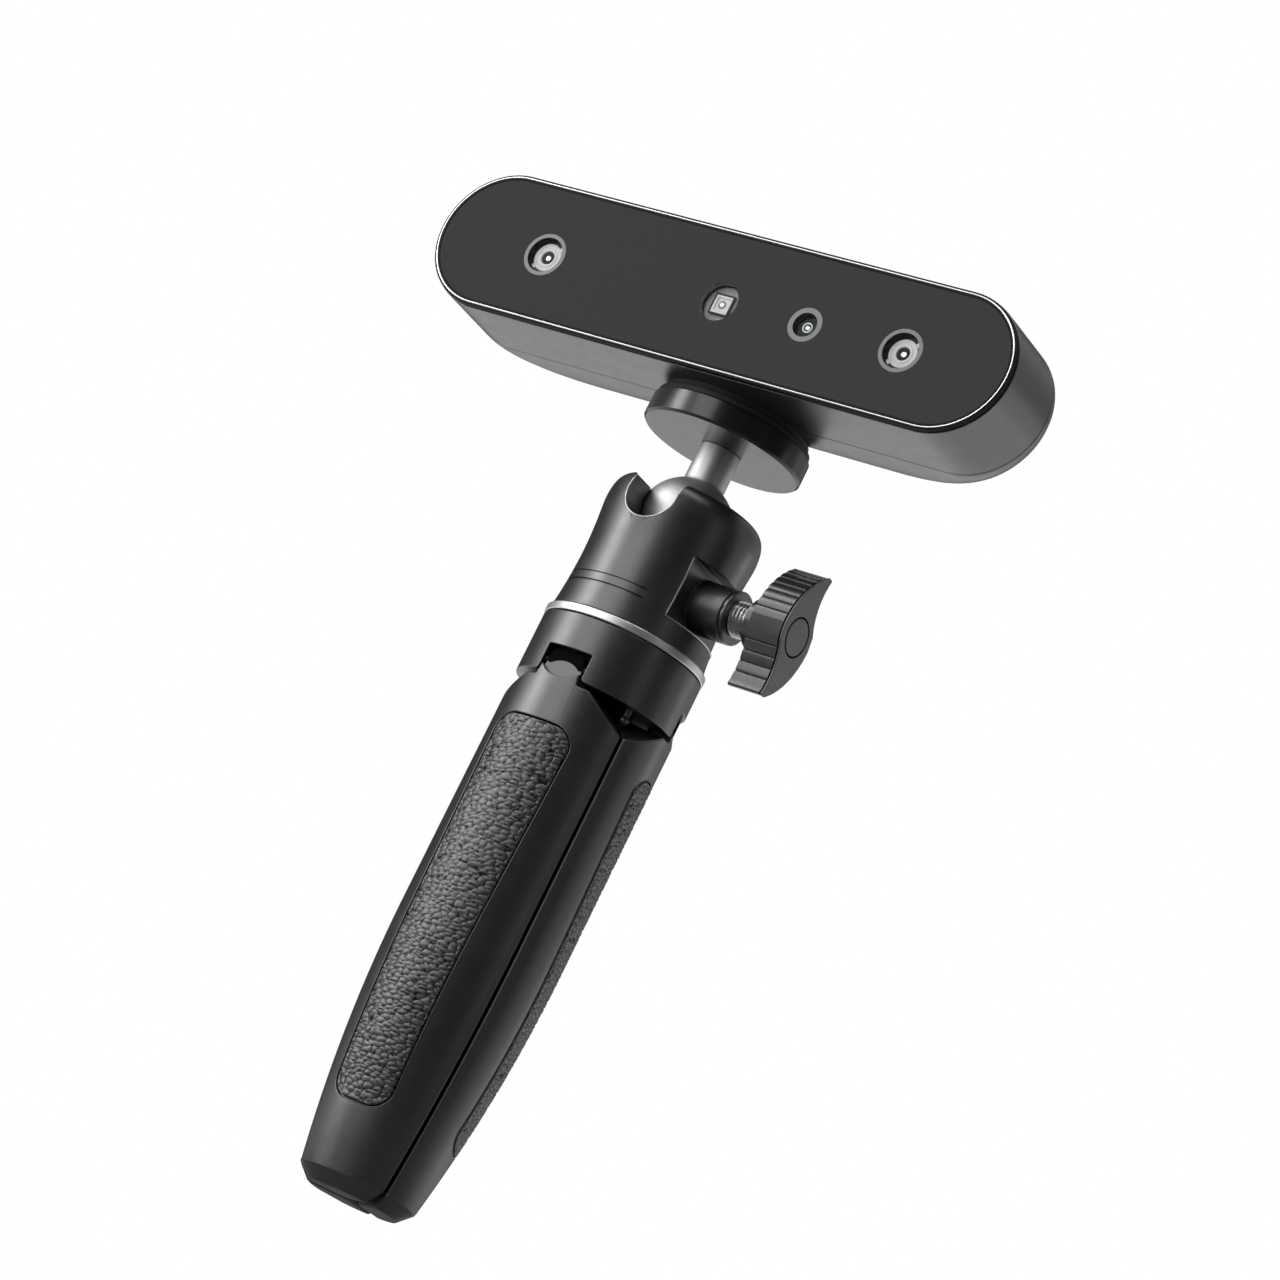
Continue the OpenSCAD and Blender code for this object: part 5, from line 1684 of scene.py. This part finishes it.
@dataclass
class Studio:
    """The camera, the lamps, the backdrop and the floor."""

    camera_at: Vector = field(default_factory=lambda: Vector((0.6207, -0.9201, -0.1184)))
    right: Vector = field(default_factory=lambda: Vector((0.8004, 0.4168, 0.4307)))
    back: Vector = field(default_factory=lambda: Vector((0.5430, -0.8087, -0.2263)))
    lens: float = 144.8
    aim: Vector = field(default_factory=lambda: Vector((0, 0, 0.13)))
    ambient: float = 0.35
    card_reach: float = 2.2
    card_rise: tuple[float, float] = (-32, 52)

    def build(self) -> None:
        """Sets up the camera, the world, the floor and the lamps."""
        self.add_camera()
        self.add_world()
        self.add_floor()
        for lamp in (
            ("key_box", -87, 14, 1.5, (0.42, 1.6), 6.2), ("fill_box", -46, 14, 1.5, (0.72, 1.4), 2.3),
            ("rim_box", 118, 1, 1.5, (0.4, 0.82), 1.2), ("top_box", -20, 70, 1.2, (0.9, 0.7), 1.5)
        ):
            self.add_lamp(*lamp)
        for card in (
            ("front_card", -58, 38, 0.04), ("right_card", 45, 84, 0.055), ("edge_card", 90, 152, 0.3),
            ("back_card", 154, 176, 0.055), ("left_card", -184, -114, 0.055)
        ):
            self.add_card(*card)

    def add_camera(self) -> None:
        """Puts the camera where the photograph was taken from."""
        data = bpy.data.cameras.new("camera")
        data.lens = self.lens
        data.sensor_width = 36
        data.clip_start = 0.01
        camera = bpy.data.objects.new("camera", data)
        bpy.context.scene.collection.objects.link(camera)
        back = self.back.normalized()
        right = (self.right - back * self.right.dot(back)).normalized()
        up = back.cross(right)
        axes = Matrix((right, up, back)).transposed().to_4x4()
        camera.matrix_world = Matrix.Translation(self.camera_at) @ axes
        bpy.context.scene.camera = camera

    def around(self, turn: float, rise: float, reach: float) -> Vector:
        """Gives a place round the object.

        Args:
            turn: Degrees to the right of the camera's own direction.
            rise: Degrees above the horizon.
            reach: Metres from the object's middle.

        Returns:
            The place.
        """
        start = math.atan2(self.back.y, self.back.x)
        angle = start + math.radians(turn)
        level = math.cos(math.radians(rise))
        way = Vector((math.cos(angle) * level, math.sin(angle) * level, math.sin(math.radians(rise))))
        return self.aim + way * reach

    def facing(self, place: Vector) -> Matrix:
        """Gives the move that puts a lamp at a place, upright and facing the object."""
        way = (place - self.aim).normalized()
        side = Vector((0, 0, 1)).cross(way).normalized()
        return Matrix.Translation(place) @ Matrix((side, way.cross(side), way)).transposed().to_4x4()

    def add_lamp(
        self, name: str, turn: float, rise: float, reach: float, size: tuple[float, float], power: float
    ) -> None:
        """Adds a soft box.

        Args:
            name: The lamp's name.
            turn: Degrees to the right of the camera's own direction.
            rise: Degrees above the horizon.
            reach: Metres from the object's middle.
            size: Its width and height in metres.
            power: Its brightness, where 1 is a white page.
        """
        data = bpy.data.lights.new(name, "AREA")
        data.shape = "RECTANGLE"
        data.size, data.size_y = size
        data.energy = power * math.pi * size[0] * size[1]
        lamp = bpy.data.objects.new(name, data)
        lamp.matrix_world = self.facing(self.around(turn, rise, reach))
        bpy.context.scene.collection.objects.link(lamp)

    def add_card(self, name: str, first: float, last: float, level: float) -> None:
        """Adds a dark curved card that only reflections show.

        Args:
            name: The card's name.
            first: Where it starts, in degrees to the right of the camera's own direction.
            last: Where it ends.
            level: Its brightness, where 1 is a white page.
        """
        count = 12
        points = []
        for index in range(count + 1):
            turn = first + (last - first) * index / count
            points += [self.around(turn, rise, self.card_reach) for rise in self.card_rise]
        faces = [(2 * index, 2 * index + 1, 2 * index + 3, 2 * index + 2) for index in range(count)]
        graph = Graph(name)
        grey = graph.add("Emission", {"Color": WHITE, "Strength": level})
        card = self.sheet(name, points, faces, graph.end(grey))
        card.visible_camera = False
        card.visible_shadow = False
        card.visible_diffuse = False
        card.visible_transmission = False

    def sheet(
        self,
        name: str,
        points: Sequence[Sequence[float]],
        faces: Sequence[Sequence[int]],
        material: bpy.types.Material,
    ) -> bpy.types.Object:
        """Adds a sheet of the studio.

        Args:
            name: The sheet's name.
            points: Its corners in metres.
            faces: The corners of each of its faces.
            material: Its material.

        Returns:
            The sheet.
        """
        mesh = bpy.data.meshes.new(name)
        mesh.from_pydata(points, [], faces)
        mesh.materials.append(material)
        sheet = bpy.data.objects.new(name, mesh)
        bpy.context.scene.collection.objects.link(sheet)
        return sheet

    def add_world(self) -> None:
        """Makes a white world for what is seen, and a plain soft one for what is lit."""
        world = bpy.data.worlds.new("backdrop")
        world.use_nodes = True
        nodes, links = world.node_tree.nodes, world.node_tree.links
        background = nodes["Background"]
        path = nodes.new("ShaderNodeLightPath").outputs
        seen = path["Is Camera Ray"]
        for kind in ("Is Glossy Ray", "Is Transmission Ray"):
            either = nodes.new("ShaderNodeMath")
            either.operation = "MAXIMUM"
            links.new(seen, either.inputs[0])
            links.new(path[kind], either.inputs[1])
            seen = either.outputs[0]
        strength = nodes.new("ShaderNodeMapRange")
        strength.inputs[3].default_value = self.ambient
        strength.inputs[4].default_value = 1.0
        links.new(seen, strength.inputs[0])
        links.new(strength.outputs[0], background.inputs["Strength"])
        background.inputs["Color"].default_value = WHITE
        bpy.context.scene.world = world

    def add_floor(self) -> None:
        """Adds a pale floor under the feet that isn't seen from below. What reflections see of it is a glow
        with a painted shadow: dimmer near the object and on the camera's side of it.
        """
        half = 3.0
        corners = [(-half, -half, 0), (half, -half, 0), (half, half, 0), (-half, half, 0)]
        graph = Graph("pale_floor")
        path = graph.add("LightPath").outputs
        lit = graph.add("BsdfDiffuse", {"Color": (0.86, 0.86, 0.86, 1)})
        away = graph.add("VectorMath", {0: graph.place()}, operation="LENGTH").outputs["Value"]
        toward = (self.back.x, self.back.y, 0)
        front = graph.add("VectorMath", {0: graph.place(), 1: toward}, operation="DOT_PRODUCT")
        # Painted shadow for reflections: the floor's glow falls to a fifth near the object and to an eighth
        # on the camera's side of it.
        painted_shadow_near = graph.ranged(away, 0.02, 0.3, 0.2, 1.0)
        painted_shade_ahead = graph.ranged(front.outputs["Value"], -0.04, 0.14, 1.0, 0.12)
        soft = graph.calculate("MULTIPLY", painted_shadow_near, painted_shade_ahead)
        # Camera rays see the glow at full white; reflections see it with the painted shadow.
        white = graph.calculate("MAXIMUM", soft, path["Is Camera Ray"])
        floor_glow_with_painted_shadow = graph.add("Emission", {"Color": WHITE, "Strength": white})
        rise = graph.add("MapRange", {"Value": away, 1: 0.15, 2: 1.1}, interpolation_type="SMOOTHSTEP")
        seen = graph.calculate("MULTIPLY", path["Is Camera Ray"], rise.outputs[0])
        share = graph.calculate("MAXIMUM", path["Is Glossy Ray"], seen)
        paint = graph.mixed(share, lit, floor_glow_with_painted_shadow)
        below = graph.add("NewGeometry").outputs["Backfacing"]
        through = graph.calculate("MAXIMUM", below, path["Is Shadow Ray"])
        ground = graph.end(graph.mixed(through, paint, graph.add("BsdfTransparent")))
        floor = self.sheet("floor", corners, [(0, 1, 2, 3)], ground)


def dress_nodes() -> None:
    """Gives every node of the frame the finish of its material slot."""
    for subpart in frame["record"]["subparts"]:
        node = frame["nodes"][subpart["node"]]
        node.data.materials.clear()
        node.data.materials.append(NODE_FINISHES[subpart["material_slot"]].material())


def main() -> None:
    """Builds the studio and every sub-assembly in order."""
    logging.basicConfig(level=logging.INFO, format="%(name)s: %(message)s")
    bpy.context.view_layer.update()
    view = bpy.context.scene.view_settings
    view.view_transform = "Standard"
    Studio().build()
    dress_nodes()
    for assembly in (Legs(), Hub(), BallHousing(), BallHead(), LockKnob(), Head()):
        log.info("building %s", type(assembly).__name__)
        assembly.build()


if __name__ == "__main__":
    main()
